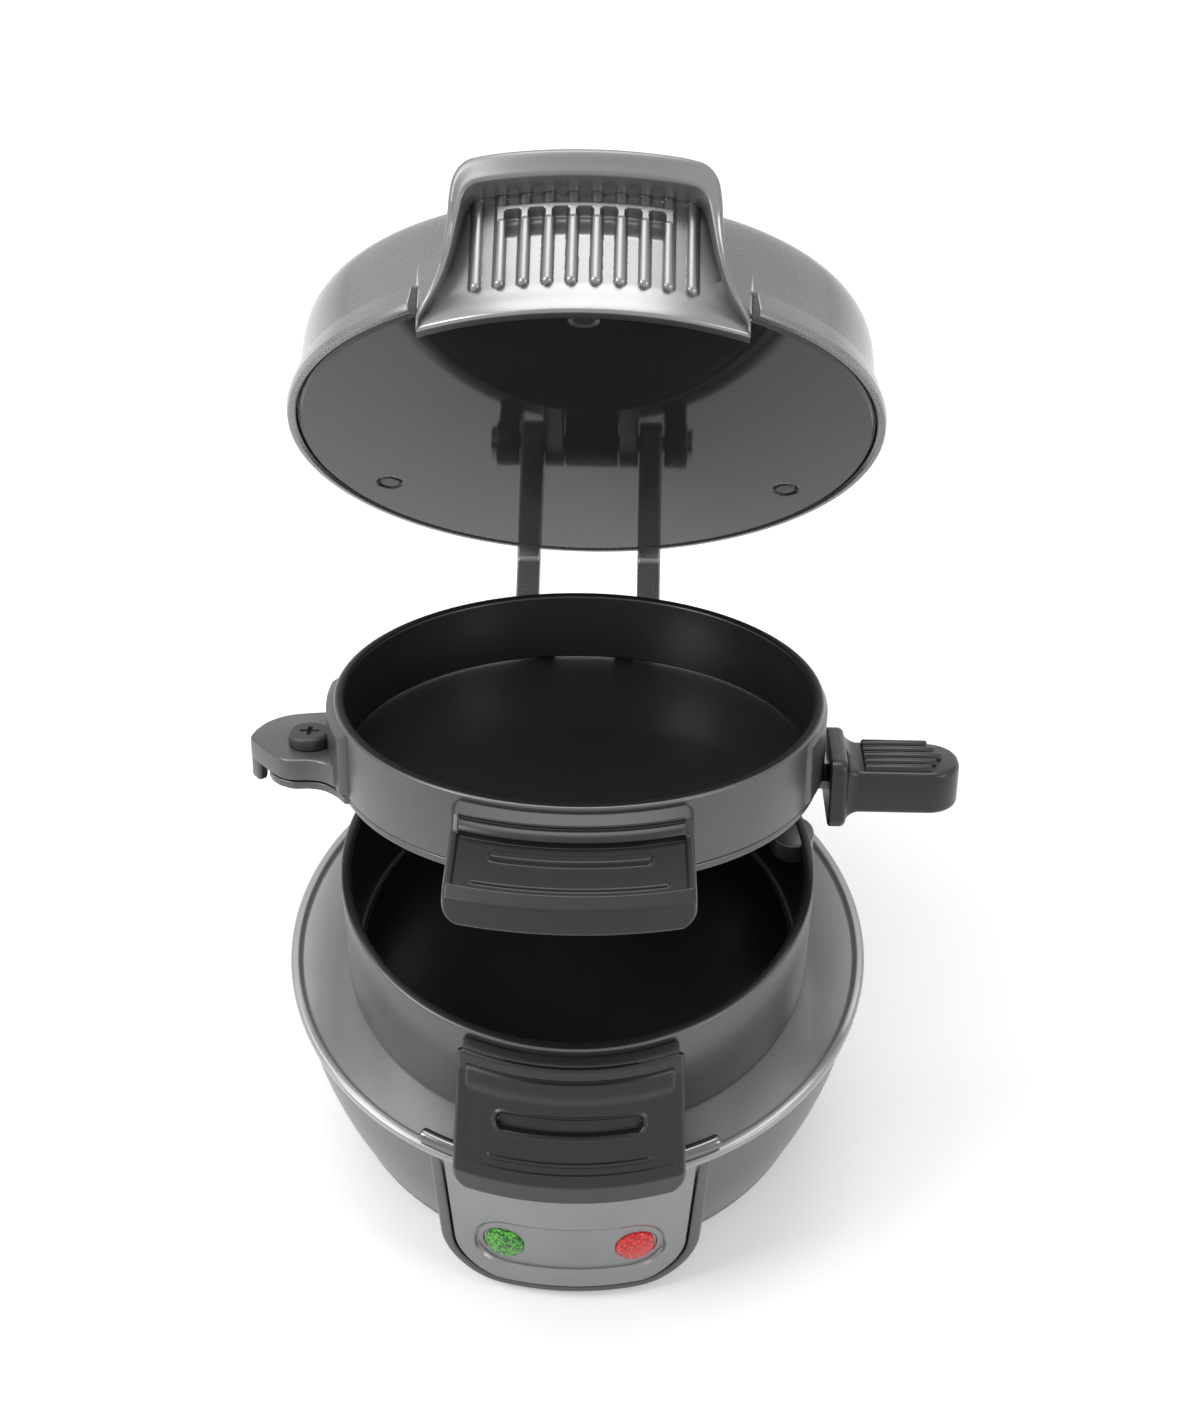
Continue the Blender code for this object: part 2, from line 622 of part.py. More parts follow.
def make_base_shell(pot):
    """Tapered housing with the front frame, the hinge cheeks and the seat of the bottom cover."""
    inner_foot = BASE_FOOT_RADIUS - BASE_WALL
    cover_seat = COVER_RADIUS + GAP
    seat_top = BASE_BOTTOM + GAP + COVER_THICKNESS + GAP
    flange_top = seat_top + BASE_WALL
    profile = [(BASE_TOP_RADIUS, BASE_TOP)]
    for step in range(CORNER_PIECES + 1):
        angle = math.radians(90) * step / CORNER_PIECES
        profile.append((BASE_FOOT_RADIUS - BASE_FILLET * (1 - math.cos(angle)) * BASE_FILLET / BASE_FOOT_RADIUS,
                        BASE_BOTTOM + BASE_FILLET * (1 - math.sin(angle))))
    profile += [(cover_seat, BASE_BOTTOM), (cover_seat, seat_top),
                (cover_seat - FLANGE_WIDTH, seat_top), (cover_seat - FLANGE_WIDTH, flange_top),
                (inner_foot, flange_top), (BASE_TOP_RADIUS - BASE_WALL, BASE_TOP)]
    shell = piece(turned("base_shell", profile), pot, grey_plastic)

    back_top = DECK_SKIRT_RADIUS + GAP
    block = turned("front_block", [
        (FRONT_TOP_RADIUS, BASE_TOP), (FRONT_BOTTOM_RADIUS, BASE_BOTTOM + FRONT_CHIN),
        (FRONT_BOTTOM_RADIUS - FRONT_CHIN, BASE_BOTTOM), (FRONT_BACK_BOTTOM, BASE_BOTTOM),
        (back_top, BASE_TOP - DECK_SKIRT_DROP - GAP), (back_top, BASE_TOP)])
    join(shell, block)
    frame = front_outline(FRAME_WIDTH, FRAME_CORNER, BASE_BOTTOM - GAP)
    keep_inside(block, outline_solid("front_frame_outline", frame, -DECK_RADIUS - OVERRUN, 0, "Y"))

    pocket = turned("panel_pocket", [
        (DECK_RADIUS + OVERRUN, BASE_TOP + OVERRUN), (DECK_RADIUS + OVERRUN, BASE_BOTTOM - OVERRUN),
        (FRONT_BOTTOM_RADIUS - PANEL_THICKNESS - GAP, BASE_BOTTOM - OVERRUN),
        (FRONT_BOTTOM_RADIUS - PANEL_THICKNESS - GAP, BASE_TOP + OVERRUN)])
    cut(shell, pocket)
    seat = front_outline(GAP, PANEL_CORNER, BASE_BOTTOM + PANEL_LIFT - GAP)
    keep_inside(pocket, outline_solid("panel_seat_outline", seat, -DECK_RADIUS - OVERRUN * 2, 0, "Y"))
    sill = BASE_BOTTOM + WINDOW_SILL
    join(pocket, box("panel_window", (-WINDOW_HALF, -DECK_RADIUS, sill),
                     (WINDOW_HALF, -FRONT_BACK_BOTTOM + BASE_WALL, BASE_TOP + OVERRUN / 2)))

    for side in (-1, 1):
        join(shell, make_cheek(side))
    cut(shell, rod("pin_bore", PIN_RADIUS + GAP, (-BASE_TOP_RADIUS, HINGE_Y, HINGE_Z),
                   (BASE_TOP_RADIUS, HINGE_Y, HINGE_Z)))

    gland_z = BASE_BOTTOM + GLAND_HEIGHT
    inside = shell_radius(gland_z) - BASE_WALL - OVERRUN
    join(shell, rod("gland_boss", GLAND_BOSS_RADIUS, (0, inside + OVERRUN, gland_z),
                    (0, GLAND_BOSS_FACE, gland_z)))
    cut(shell, rod("gland_hole", GLAND_RADIUS + GAP, (0, inside - OVERRUN, gland_z),
                   (0, GLAND_BOSS_FACE + OVERRUN, gland_z)))
    for spot in cover_screw_spots():
        start = Vector((spot.x, spot.y, BASE_BOTTOM))
        end = Vector((spot.x, spot.y, flange_top + OVERRUN))
        cut(shell, rod("cover_screw_hole", SCREW_RADIUS + GAP, start, end))
    return shell


def hinge_layout():
    """Half-widths across the hinge: each knuckle starts a gap beyond the one inside it."""
    upper_in = LOWER_KNUCKLE_HALF + GAP
    upper_out = upper_in + UPPER_KNUCKLE_WIDTH
    lid_in = upper_out + GAP
    lid_out = lid_in + LID_KNUCKLE_WIDTH
    cheek_in = lid_out + GAP
    return upper_in, upper_out, lid_in, lid_out, cheek_in, cheek_in + CHEEK_WIDTH


def sided(side, near, far):
    """A span across the hinge, mirrored to the side asked for, lowest first."""
    return (near, far) if side > 0 else (-far, -near)


def make_cheek(side):
    """One upright of the base that carries the hinge pin."""
    cheek_in, cheek_out = hinge_layout()[4:]
    low, high = sided(side, cheek_in, cheek_out)
    root = BASE_TOP - CHEEK_ROOT_DROP
    wall = shell_radius(root) - BASE_WALL / 2
    start = math.sqrt(wall * wall - cheek_in * cheek_in)
    behind_skirt = DECK_SKIRT_RADIUS
    points = [Vector((start, root)), Vector((behind_skirt, BASE_TOP - DECK_SKIRT_DROP - GAP)),
              Vector((behind_skirt, DECK_TOP + DECK_BEAD_RISE)),
              Vector((HINGE_Y - KNUCKLE_RADIUS, DECK_TOP + KNUCKLE_RADIUS))]
    points += arc((HINGE_Y, HINGE_Z), KNUCKLE_RADIUS, (180, 0), CORNER_PIECES * 2)
    points += [Vector((HINGE_Y + KNUCKLE_RADIUS, DECK_TOP)),
               Vector((HINGE_Y, BASE_TOP - CHEEK_SLOPE_DROP))]
    return outline_solid("cheek", points, low, high, "X")


def make_hinge_pin(pot):
    """Pin with a head at each end that holds the cheeks, the rings and the lid together."""
    reach = hinge_layout()[5] + GAP
    head = reach + PIN_HEAD_HEIGHT
    profile = [(0, head), (PIN_HEAD_RADIUS, head), (PIN_HEAD_RADIUS, reach), (PIN_RADIUS, reach),
               (PIN_RADIUS, -reach), (PIN_HEAD_RADIUS, -reach), (PIN_HEAD_RADIUS, -head), (0, -head)]
    tilt = (0, math.radians(90), 0)
    piece(turned("hinge_pin", profile, SMALL_STEPS, HINGE, tilt), pot, steel)


def make_base_deck(pot):
    """Ring-shaped top of the base: it locates in the shell and carries the heating plate."""
    hole = heater_radius() + GAP
    ledge_top = DECK_TOP + HEATER_PROUD - HEATER_THICKNESS - GAP
    ledge_bottom = ledge_top - DECK_LEDGE_THICKNESS
    well = hole + DECK_LEDGE_THICKNESS
    skirt_in = DECK_SKIRT_RADIUS - DECK_SKIRT_WALL
    bead_in = DECK_RADIUS - DECK_BEAD_WIDTH
    bead_top = DECK_TOP + DECK_BEAD_RISE
    under = DECK_BOTTOM - DECK_SHEET
    profile = [
        (DECK_RADIUS, bead_top - DECK_EDGE_ROUND), (DECK_RADIUS, DECK_BOTTOM + DECK_EDGE_ROUND),
        (DECK_RADIUS - DECK_EDGE_ROUND, DECK_BOTTOM), (DECK_SKIRT_RADIUS, DECK_BOTTOM),
        (DECK_SKIRT_RADIUS, BASE_TOP - DECK_SKIRT_DROP), (skirt_in, BASE_TOP - DECK_SKIRT_DROP),
        (skirt_in, under), (well, under), (well, ledge_bottom), (hole - DECK_LEDGE_WIDTH, ledge_bottom),
        (hole - DECK_LEDGE_WIDTH, ledge_top), (hole, ledge_top), (hole, DECK_TOP),
        (bead_in - DECK_EDGE_ROUND, DECK_TOP), (bead_in, bead_top - DECK_EDGE_ROUND),
        (bead_in + DECK_EDGE_ROUND, bead_top), (DECK_RADIUS - DECK_EDGE_ROUND, bead_top)]
    deck = piece(turned("base_deck", profile), pot, grey_plastic)
    cheek_in, cheek_out = hinge_layout()[4:]
    for side in (-1, 1):
        low, high = sided(side, cheek_in - GAP, cheek_out + GAP)
        cut(deck, box("cheek_notch", (low, DECK_SKIRT_RADIUS - GAP, BASE_TOP - OVERRUN),
                      (high, DECK_RADIUS + OVERRUN, bead_top + OVERRUN)))


def heater_radius():
    """Both heating plates stand just inside the rings."""
    return RING_RADIUS - HEATER_RIM


def make_bottom_heater(pot):
    """Cast heating plate, the tube element under it, the thermostat and the fuse."""
    radius = heater_radius()
    top = DECK_TOP + HEATER_PROUD
    rim = top - HEATER_THICKNESS
    step_radius = radius - DECK_LEDGE_WIDTH - GAP
    step = rim - DECK_LEDGE_THICKNESS / 2
    profile = [(0, top), (radius - HEATER_CHAMFER, top), (radius, top - HEATER_CHAMFER), (radius, rim),
               (step_radius, rim), (step_radius, step), (0, step)]
    piece(turned("bottom_heating_plate", profile), pot, nonstick)

    element_z = step - GAP - ELEMENT_TUBE
    piece(element("bottom_element", element_z, -1), pot, steel)

    body_top = step - GAP
    profile = [(0, body_top), (THERMOSTAT_RADIUS, body_top), (THERMOSTAT_RADIUS, body_top - THERMOSTAT_STEP),
               (THERMOSTAT_RADIUS - THERMOSTAT_STEP, body_top - THERMOSTAT_STEP * 2),
               (THERMOSTAT_RADIUS - THERMOSTAT_STEP, body_top - THERMOSTAT_HEIGHT),
               (0, body_top - THERMOSTAT_HEIGHT)]
    piece(turned("thermostat", profile, SMALL_STEPS), pot, black_plastic)
    fuse_z = step - GAP - FUSE_RADIUS
    piece(rod("thermal_fuse", FUSE_RADIUS, (-FUSE_LENGTH / 2, FUSE_OFFSET, fuse_z),
              (FUSE_LENGTH / 2, FUSE_OFFSET, fuse_z)), pot, steel)


def element(name, height, way):
    """A C-shaped heating tube whose two ends turn away from its plate, down or up."""
    half = ELEMENT_GAP_DEGREES / 2
    points = [around(ELEMENT_CIRCLE, HALF_TURN + half, height + way * ELEMENT_LEG)]
    for step in range(ELEMENT_POINTS + 1):
        degrees = HALF_TURN + half + (HALF_TURN * 2 - ELEMENT_GAP_DEGREES) * step / ELEMENT_POINTS
        points.append(around(ELEMENT_CIRCLE, degrees, height))
    points.append(around(ELEMENT_CIRCLE, HALF_TURN - half, height + way * ELEMENT_LEG))
    return tube(name, points, ELEMENT_TUBE)


def cover_screw_spots():
    """Three screws hold the bottom cover."""
    return [around(COVER_SCREW_CIRCLE, degrees, 0) for degrees in (60, 180, 300)]


def make_bottom_cover(pot):
    """Cover with vents, its screws, and the feet that plug through it."""
    low = BASE_BOTTOM + GAP
    high = low + COVER_THICKNESS
    cover = piece(rod("bottom_cover", COVER_RADIUS, (0, 0, low), (0, 0, high), RING_STEPS), pot, black_plastic)
    for index in range(VENTS):
        middle = (index - (VENTS - 1) / 2) * VENT_PITCH
        cut(cover, box("vent", (-VENT_LENGTH / 2, middle - VENT_WIDTH / 2, low - OVERRUN),
                       (VENT_LENGTH / 2, middle + VENT_WIDTH / 2, high + OVERRUN)))
    for number, spot in enumerate(cover_screw_spots(), 1):
        under = spot + Vector((0, 0, low - GAP))
        cut(cover, rod("cover_hole", SCREW_RADIUS + GAP, under - Vector((0, 0, OVERRUN)),
                       under + Vector((0, 0, OVERRUN * 2))))
        piece(screw_at("cover_screw_%d" % number, under, COVER_SCREW_LENGTH), pot, steel)
    for number in range(1, 5):
        spot = around(FOOT_CIRCLE, 45 + 90 * number, 0)
        cut(cover, rod("foot_hole", FOOT_STEM_RADIUS + GAP, spot, spot + Vector((0, 0, high + OVERRUN))))
        profile = [(0, FOOT_HEIGHT + FOOT_STEM_HEIGHT), (FOOT_STEM_RADIUS, FOOT_HEIGHT + FOOT_STEM_HEIGHT),
                   (FOOT_STEM_RADIUS, FOOT_HEIGHT), (FOOT_RADIUS, FOOT_HEIGHT),
                   (FOOT_RADIUS, FOOT_HEIGHT / 4), (FOOT_RADIUS - FOOT_HEIGHT / 4, 0), (0, 0)]
        piece(turned("foot_%d" % number, profile, SMALL_STEPS, spot), pot, rubber)


def screw_at(name, seat, length, tilt=(0, 0, 0), head=SCREW_HEAD_RADIUS):
    """A pan-head screw whose head lies below its seat, pointing up unless tilted."""
    profile = [(0, length), (SCREW_RADIUS, length), (SCREW_RADIUS, 0), (head, 0),
               (head, -SCREW_HEAD_HEIGHT / 2), (head - SCREW_HEAD_HEIGHT / 2, -SCREW_HEAD_HEIGHT),
               (0, -SCREW_HEAD_HEIGHT)]
    return turned(name, profile, SCREW_STEPS, seat, tilt)


def make_front_panel(pot):
    """Silver panel with its dished field, two lamp lenses, and the lamps on their holder."""
    back = FRONT_BOTTOM_RADIUS - PANEL_THICKNESS
    low = BASE_BOTTOM + PANEL_LIFT
    top = BASE_TOP - GAP
    panel = piece(turned("front_panel", [
        (FRONT_TOP_RADIUS, top), (FRONT_BOTTOM_RADIUS, low - OVERRUN), (back, low - OVERRUN), (back, top)]),
        pot, silver_plastic)
    outline = front_outline(0, PANEL_CORNER, low)
    keep_inside(panel, outline_solid("panel_outline", outline, -DECK_RADIUS - OVERRUN, 0, "Y"))

    dish = turned("panel_dish", [
        (DECK_RADIUS + OVERRUN, BASE_TOP), (DECK_RADIUS + OVERRUN, BASE_BOTTOM),
        (FRONT_BOTTOM_RADIUS - DISH_DEPTH, BASE_BOTTOM), (FRONT_BOTTOM_RADIUS - DISH_DEPTH, BASE_TOP)])
    cut(panel, dish)
    bottom = BASE_BOTTOM + DISH_LOW
    ceiling = BASE_BOTTOM + DISH_HIGH
    corner = (ceiling - bottom) / 2 - GAP
    pill = rounded([(-DISH_HALF, ceiling), (-DISH_HALF, bottom), (DISH_HALF, bottom), (DISH_HALF, ceiling)],
                   [corner] * 4, CORNER_PIECES * 2)
    keep_inside(dish, outline_solid("dish_outline", pill, -DECK_RADIUS - OVERRUN * 2, 0, "Y"))

    lamp_z = BASE_BOTTOM + LENS_HEIGHT
    face = FRONT_BOTTOM_RADIUS - DISH_DEPTH
    for name, side in (("ready", -1), ("power", 1)):
        turn = side * LENS_DEGREES
        cut(panel, rod("lens_hole", LENS_RADIUS + GAP, around(back - OVERRUN, turn, lamp_z),
                       around(face + OVERRUN, turn, lamp_z)))
        tilt = (math.radians(90), 0, math.radians(turn))
        stem = lens_seat(back)
        profile = [(0, face + LENS_PROUD), (LENS_RADIUS / 2, face + LENS_PROUD * 3 / 4), (LENS_RADIUS, face),
                   (LENS_RADIUS, stem), (LENS_FLANGE_RADIUS, stem), (LENS_FLANGE_RADIUS, stem - LENS_FLANGE),
                   (0, stem - LENS_FLANGE)]
        glass = green_lens if side < 0 else red_lens
        piece(turned(name + "_lens", profile, SMALL_STEPS, (0, 0, lamp_z), tilt), pot, glass)
        lamp_face = stem - LENS_FLANGE - GAP
        piece(rod(name + "_lamp", LAMP_RADIUS, around(lamp_face, turn, lamp_z),
                  around(lamp_face - LAMP_LENGTH, turn, lamp_z)), pot, lamp_glass)
    turn = math.radians(LENS_DEGREES)
    lamp_back = lens_seat(back) - LENS_FLANGE - GAP - LAMP_LENGTH
    holder_y = -lamp_back * math.cos(turn) + LAMP_RADIUS * math.sin(turn) + GAP
    piece(box("lamp_holder", (-WINDOW_HALF + GAP, holder_y, BASE_BOTTOM + HOLDER_LOW),
              (WINDOW_HALF - GAP, holder_y + HOLDER_THICKNESS, BASE_BOTTOM + HOLDER_HIGH)), pot, black_plastic)


def lens_seat(back):
    """The flat flange of a lens touches the curved back of the panel at its own edge."""
    return math.sqrt(back ** 2 - LENS_FLANGE_RADIUS ** 2) - GAP * 2


def make_base_trim(pot):
    """Chrome rest bar on the deck's front edge, and the gland at the back."""
    height = DECK_TOP + DECK_BEAD_RISE + GAP + TRIM_RADIUS
    points = []
    for step in range(TRIM_POINTS + 1):
        points.append(around(TRIM_CIRCLE, TRIM_DEGREES * (2 * step / TRIM_POINTS - 1), height))
    piece(tube("handle_rest_trim", points, TRIM_RADIUS), pot, chrome)

    gland_z = BASE_BOTTOM + GLAND_HEIGHT
    face = GLAND_BOSS_FACE + GAP
    outer = face + GLAND_FLANGE
    profile = [(GLAND_FLANGE_RADIUS, outer), (GLAND_FLANGE_RADIUS, face), (GLAND_RADIUS, face),
               (GLAND_RADIUS, face - GLAND_LENGTH), (GLAND_BORE, face - GLAND_LENGTH), (GLAND_BORE, outer)]
    piece(turned("cord_gland", profile, SMALL_STEPS, (0, 0, gland_z), (math.radians(-90), 0, 0)),
          pot, black_plastic)


def ring_profile(low, high):
    """Section of a plain cooking ring with its edges broken."""
    return [(RING_OUTER - RING_EDGE, high), (RING_OUTER, high - RING_EDGE), (RING_OUTER, low + RING_EDGE),
            (RING_OUTER - RING_EDGE, low), (RING_RADIUS + RING_EDGE, low), (RING_RADIUS, low + RING_EDGE),
            (RING_RADIUS, high - RING_EDGE), (RING_RADIUS + RING_EDGE, high)]


def arm(name, side_span, low, high):
    """An arm from a ring's back wall to its knuckle, in side view a strap with a round end."""
    root = RING_RADIUS + ARM_ROOT / 2
    ahead = math.degrees(math.atan2(HINGE_Z - (low + high) / 2, HINGE_Y - root))
    points = [Vector((root, high))]
    points += arc((HINGE_Y, HINGE_Z), KNUCKLE_RADIUS, (ahead + 90, ahead - 90), CORNER_PIECES * 2)
    points.append(Vector((root, low)))
    return outline_solid(name, points, side_span[0], side_span[1], "X")


def bore_for_pin(target):
    """Clear the hinge pin's path through every knuckle of a piece."""
    cut(target, rod("pin_path", PIN_RADIUS + GAP, (-BASE_TOP_RADIUS, HINGE_Y, HINGE_Z),
                    (BASE_TOP_RADIUS, HINGE_Y, HINGE_Z)))


def add_tang(ring, low, length):
    """The tongue that a ring's handle slides onto, with its screw hole."""
    end = RING_OUTER + length
    join(ring, box("tang", (-TANG_HALF_WIDTH, -end, low),
                   (TANG_HALF_WIDTH, -RING_RADIUS - ARM_ROOT, low + TANG_THICKNESS)))
    screw_y = tang_screw_y(length)
    cut(ring, rod("tang_hole", SCREW_RADIUS + GAP, (0, screw_y, low - OVERRUN),
                  (0, screw_y, low + TANG_THICKNESS + OVERRUN)))


def tang_screw_y(length):
    """The screw stands a little past the middle of the tang."""
    return -RING_OUTER - length * 3 / 5


def make_lower_ring(lower):
    """Deep lower ring with its tang, the small lug on its rim, and the middle hinge arm."""
    ring = piece(turned("lower_ring", ring_profile(LOWER_RING_BOTTOM, LOWER_RING_TOP)), lower, ring_metal)
    half = LOWER_KNUCKLE_HALF
    join(ring, arm("lower_arm", (-half, half), HINGE_Z - KNUCKLE_RADIUS, HINGE_Z + ARM_WIDTH))
    bore_for_pin(ring)
    add_tang(ring, lower_tang_low(), LOWER_TANG_LENGTH)
    lug_top = LOWER_RING_TOP - GAP
    out = around(RING_OUTER + RIM_LUG_PROUD - RIM_LUG_RADIUS, 90 + RIM_LUG_DEGREES, lug_top)
    lug = join(ring, rod("rim_lug", RIM_LUG_RADIUS, out - Vector((0, 0, RIM_LUG_DEPTH)), out))
    keep_inside(lug, turned("rim_lug_room", [
        (RING_OUTER + OVERRUN, LOWER_RING_TOP), (RING_OUTER + OVERRUN, LOWER_RING_BOTTOM),
        (RING_RADIUS + ARM_ROOT, LOWER_RING_BOTTOM), (RING_RADIUS + ARM_ROOT, LOWER_RING_TOP)]))


def lower_tang_low():
    """Underside of the lower ring's tang."""
    return LOWER_RING_TOP - LOWER_TANG_DROP


def add_handle_boss(handle, low, length, neck):
    """Solid block in a ring handle, its pocket for the tang, and the screw's hole."""
    end = RING_OUTER + length + GAP
    floor = low - GAP - BOSS_FLOOR
    top = low + TANG_THICKNESS + GAP
    join(handle, box("handle_boss", (-BOSS_HALF_WIDTH, -end - TANG_COVER, floor),
                     (BOSS_HALF_WIDTH, -RING_OUTER - neck * 3 / 4, top + TANG_COVER)))
    cut(handle, box("tang_pocket", (-TANG_HALF_WIDTH - GAP, -end, low - GAP),
                    (TANG_HALF_WIDTH + GAP, -RING_RADIUS, top)))
    screw_y = tang_screw_y(length)
    cut(handle, rod("handle_screw_hole", SCREW_RADIUS + GAP, (0, screw_y, floor - OVERRUN),
                    (0, screw_y, top + TANG_COVER)))
    return Vector((0, screw_y, floor - GAP)), top + TANG_COVER - floor


def handle_limits(name, half_top, half_bottom, top, shoulder, bottom):
    """Front view of a ring handle: it widens down to its shoulder, and its lower corners are round."""
    corners = [(-half_top, top), (-half_bottom, shoulder), (-half_bottom, bottom),
               (half_bottom, bottom), (half_bottom, shoulder), (half_top, top)]
    radii = [HANDLE_TOP_CORNER, HANDLE_TOP_CORNER, HANDLE_CORNER, HANDLE_CORNER, HANDLE_TOP_CORNER,
             HANDLE_TOP_CORNER]
    return outline_solid(name, rounded(corners, radii), -LID_RADIUS * 2, 0, "Y")


def make_lower_handle(lower):
    """Sloping front handle of the lower ring, screwed to the tang from below."""
    top = LOWER_RING_TOP - LOWER_HANDLE_BELOW_RIM
    near = RING_OUTER + GAP
    crease = Vector((RING_OUTER + LOWER_HANDLE_CREASE_OUT, top - LOWER_HANDLE_CREASE_DROP))
    reach = RING_OUTER + LOWER_HANDLE_REACH
    knee = Vector((reach - LOWER_HANDLE_CHIN_BACK, top - LOWER_HANDLE_PANEL_DROP))
    slope = (knee - crease).normalized()
    inward = Vector((slope.y, -slope.x)) * HANDLE_WALL
    bottom = top - LOWER_HANDLE_HEIGHT
    neck = near + LOWER_HANDLE_NECK
    neck_low = top - LOWER_HANDLE_BELOW_RIM - LOWER_HANDLE_NECK_HEIGHT
    lip = RING_OUTER + LOWER_HANDLE_LIP_OUT
    under_knee = knee + inward
    under_crease = crease + inward + slope * HANDLE_WALL
    profile = [
        (lip, top), ((lip + crease.x) / 2, top - LOWER_HANDLE_LIP_DROP), tuple(crease), tuple(knee),
        (reach, top - LOWER_HANDLE_CHIN_DROP), (reach, bottom), (reach - HANDLE_WALL, bottom),
        (reach - HANDLE_WALL, top - LOWER_HANDLE_CHIN_DROP), tuple(under_knee), tuple(under_crease),
        (neck, neck_low), (near, neck_low), (near, top - LOWER_HANDLE_BELOW_RIM),
        ((near + lip) / 2, top)]
    handle = piece(turned("lower_handle", profile), lower, charcoal_plastic)
    keep_inside(handle, handle_limits("lower_handle_limits", LOWER_HANDLE_TOP_HALF,
                                      LOWER_HANDLE_BOTTOM_HALF, top + GAP, knee.y, bottom - GAP))
    middle = crease.lerp(knee, LOWER_SLOT_SHARE)
    outward = -inward.normalized()
    half = slope * LOWER_SLOT_HEIGHT
    deep = middle - outward * LOWER_SLOT_DEPTH
    clear = middle + outward * OVERRUN
    slot = turned("lower_slot", [tuple(clear - half), tuple(clear + half), tuple(deep + half),
                                 tuple(deep - half)])
    cut(handle, slot)
    tall = LOWER_SLOT_HEIGHT / 2
    pill = rounded([(-LOWER_SLOT_HALF, middle.y + tall), (-LOWER_SLOT_HALF, middle.y - tall),
                    (LOWER_SLOT_HALF, middle.y - tall), (LOWER_SLOT_HALF, middle.y + tall)],
                   [tall - GAP] * 4)
    keep_inside(slot, outline_solid("lower_slot_outline", pill, -LID_RADIUS * 2, 0, "Y"))
    seat, length = add_handle_boss(handle, lower_tang_low(), LOWER_TANG_LENGTH, LOWER_HANDLE_NECK)
    piece(screw_at("lower_handle_screw", seat, length), lower, steel)


def make_upper_ring(upper):
    """Shallow upper ring with the ear that carries the plate, the prong that stops it, and two arms."""
    ring = piece(turned("upper_ring", ring_profile(UPPER_RING_BOTTOM, UPPER_RING_TOP)), upper, ring_metal)
    upper_in, upper_out = hinge_layout()[:2]
    root_low = UPPER_RING_BOTTOM + ARM_ROOT
    root_high = UPPER_RING_TOP - ARM_ROOT * 3
    for side in (-1, 1):
        join(ring, arm("upper_arm", sided(side, upper_in, upper_out), root_low, root_high))
    bore_for_pin(ring)
    add_tang(ring, UPPER_RING_BOTTOM + UPPER_TANG_RISE, UPPER_TANG_LENGTH)

    for side, proud in ((-1, EAR_BOSS_PROUD), (1, RIGHT_BOSS_PROUD)):
        boss = turned("wall_boss", [
            (RING_OUTER, UPPER_RING_TOP - BOSS_BELOW_RIM), (RING_OUTER + proud, UPPER_RING_TOP - BOSS_BELOW_RIM * 2),
            (RING_OUTER + proud, UPPER_RING_BOTTOM + BOSS_BELOW_RIM), (RING_OUTER, UPPER_RING_BOTTOM),
            (RING_RADIUS + ARM_ROOT, UPPER_RING_BOTTOM), (RING_RADIUS + ARM_ROOT, UPPER_RING_TOP - BOSS_BELOW_RIM)])
        join(ring, boss)
        low, high = sided(side, RING_OUTER / 2, RING_OUTER * 2)
        keep_inside(boss, box("boss_span", (low, -BOSS_FRONT, UPPER_RING_BOTTOM - OVERRUN),
                              (high, BOSS_BACK, UPPER_RING_TOP + OVERRUN)))

    pivot = Vector((PIVOT.x, PIVOT.y))
    back_turn = math.degrees(math.asin(BOSS_BACK / RING_OUTER))
    front_turn = math.degrees(math.asin(BOSS_FRONT / RING_OUTER))
    ear_points = arc(pivot, EAR_BACK_RADIUS, EAR_BACK_DEGREES, CORNER_PIECES * 3)
    ear_points += arc(pivot, EAR_FRONT_RADIUS, EAR_FRONT_DEGREES, CORNER_PIECES)
    ear_points += arc((0, 0), RING_RADIUS + ARM_ROOT, (180 + front_turn, 180 - back_turn), CORNER_PIECES)
    join(ring, outline_solid("ear", ear_points, UPPER_RING_BOTTOM, UPPER_RING_BOTTOM + EAR_THICKNESS, "Z"))
    prong_in = PLATE_LUG_RADIUS + PRONG_CLEARANCE
    prong_points = arc(pivot, PRONG_RADIUS - MERGE, PRONG_DEGREES, CORNER_PIECES)
    prong_points += arc(pivot, prong_in, PRONG_DEGREES[::-1], CORNER_PIECES)
    join(ring, outline_solid("prong", prong_points, UPPER_RING_BOTTOM - PRONG_DROP,
                             UPPER_RING_BOTTOM + EAR_THICKNESS / 2, "Z"))
    ear_top = UPPER_RING_BOTTOM + EAR_THICKNESS
    cut(ring, rod("pivot_head_room", PIVOT_HEAD_RADIUS + GAP, (PIVOT.x, PIVOT.y, ear_top),
                  (PIVOT.x, PIVOT.y, UPPER_RING_TOP + OVERRUN)))
    cut(ring, rod("pivot_hole", PIVOT_RADIUS + GAP, (PIVOT.x, PIVOT.y, UPPER_RING_BOTTOM - OVERRUN),
                  (PIVOT.x, PIVOT.y, UPPER_RING_TOP + OVERRUN)))


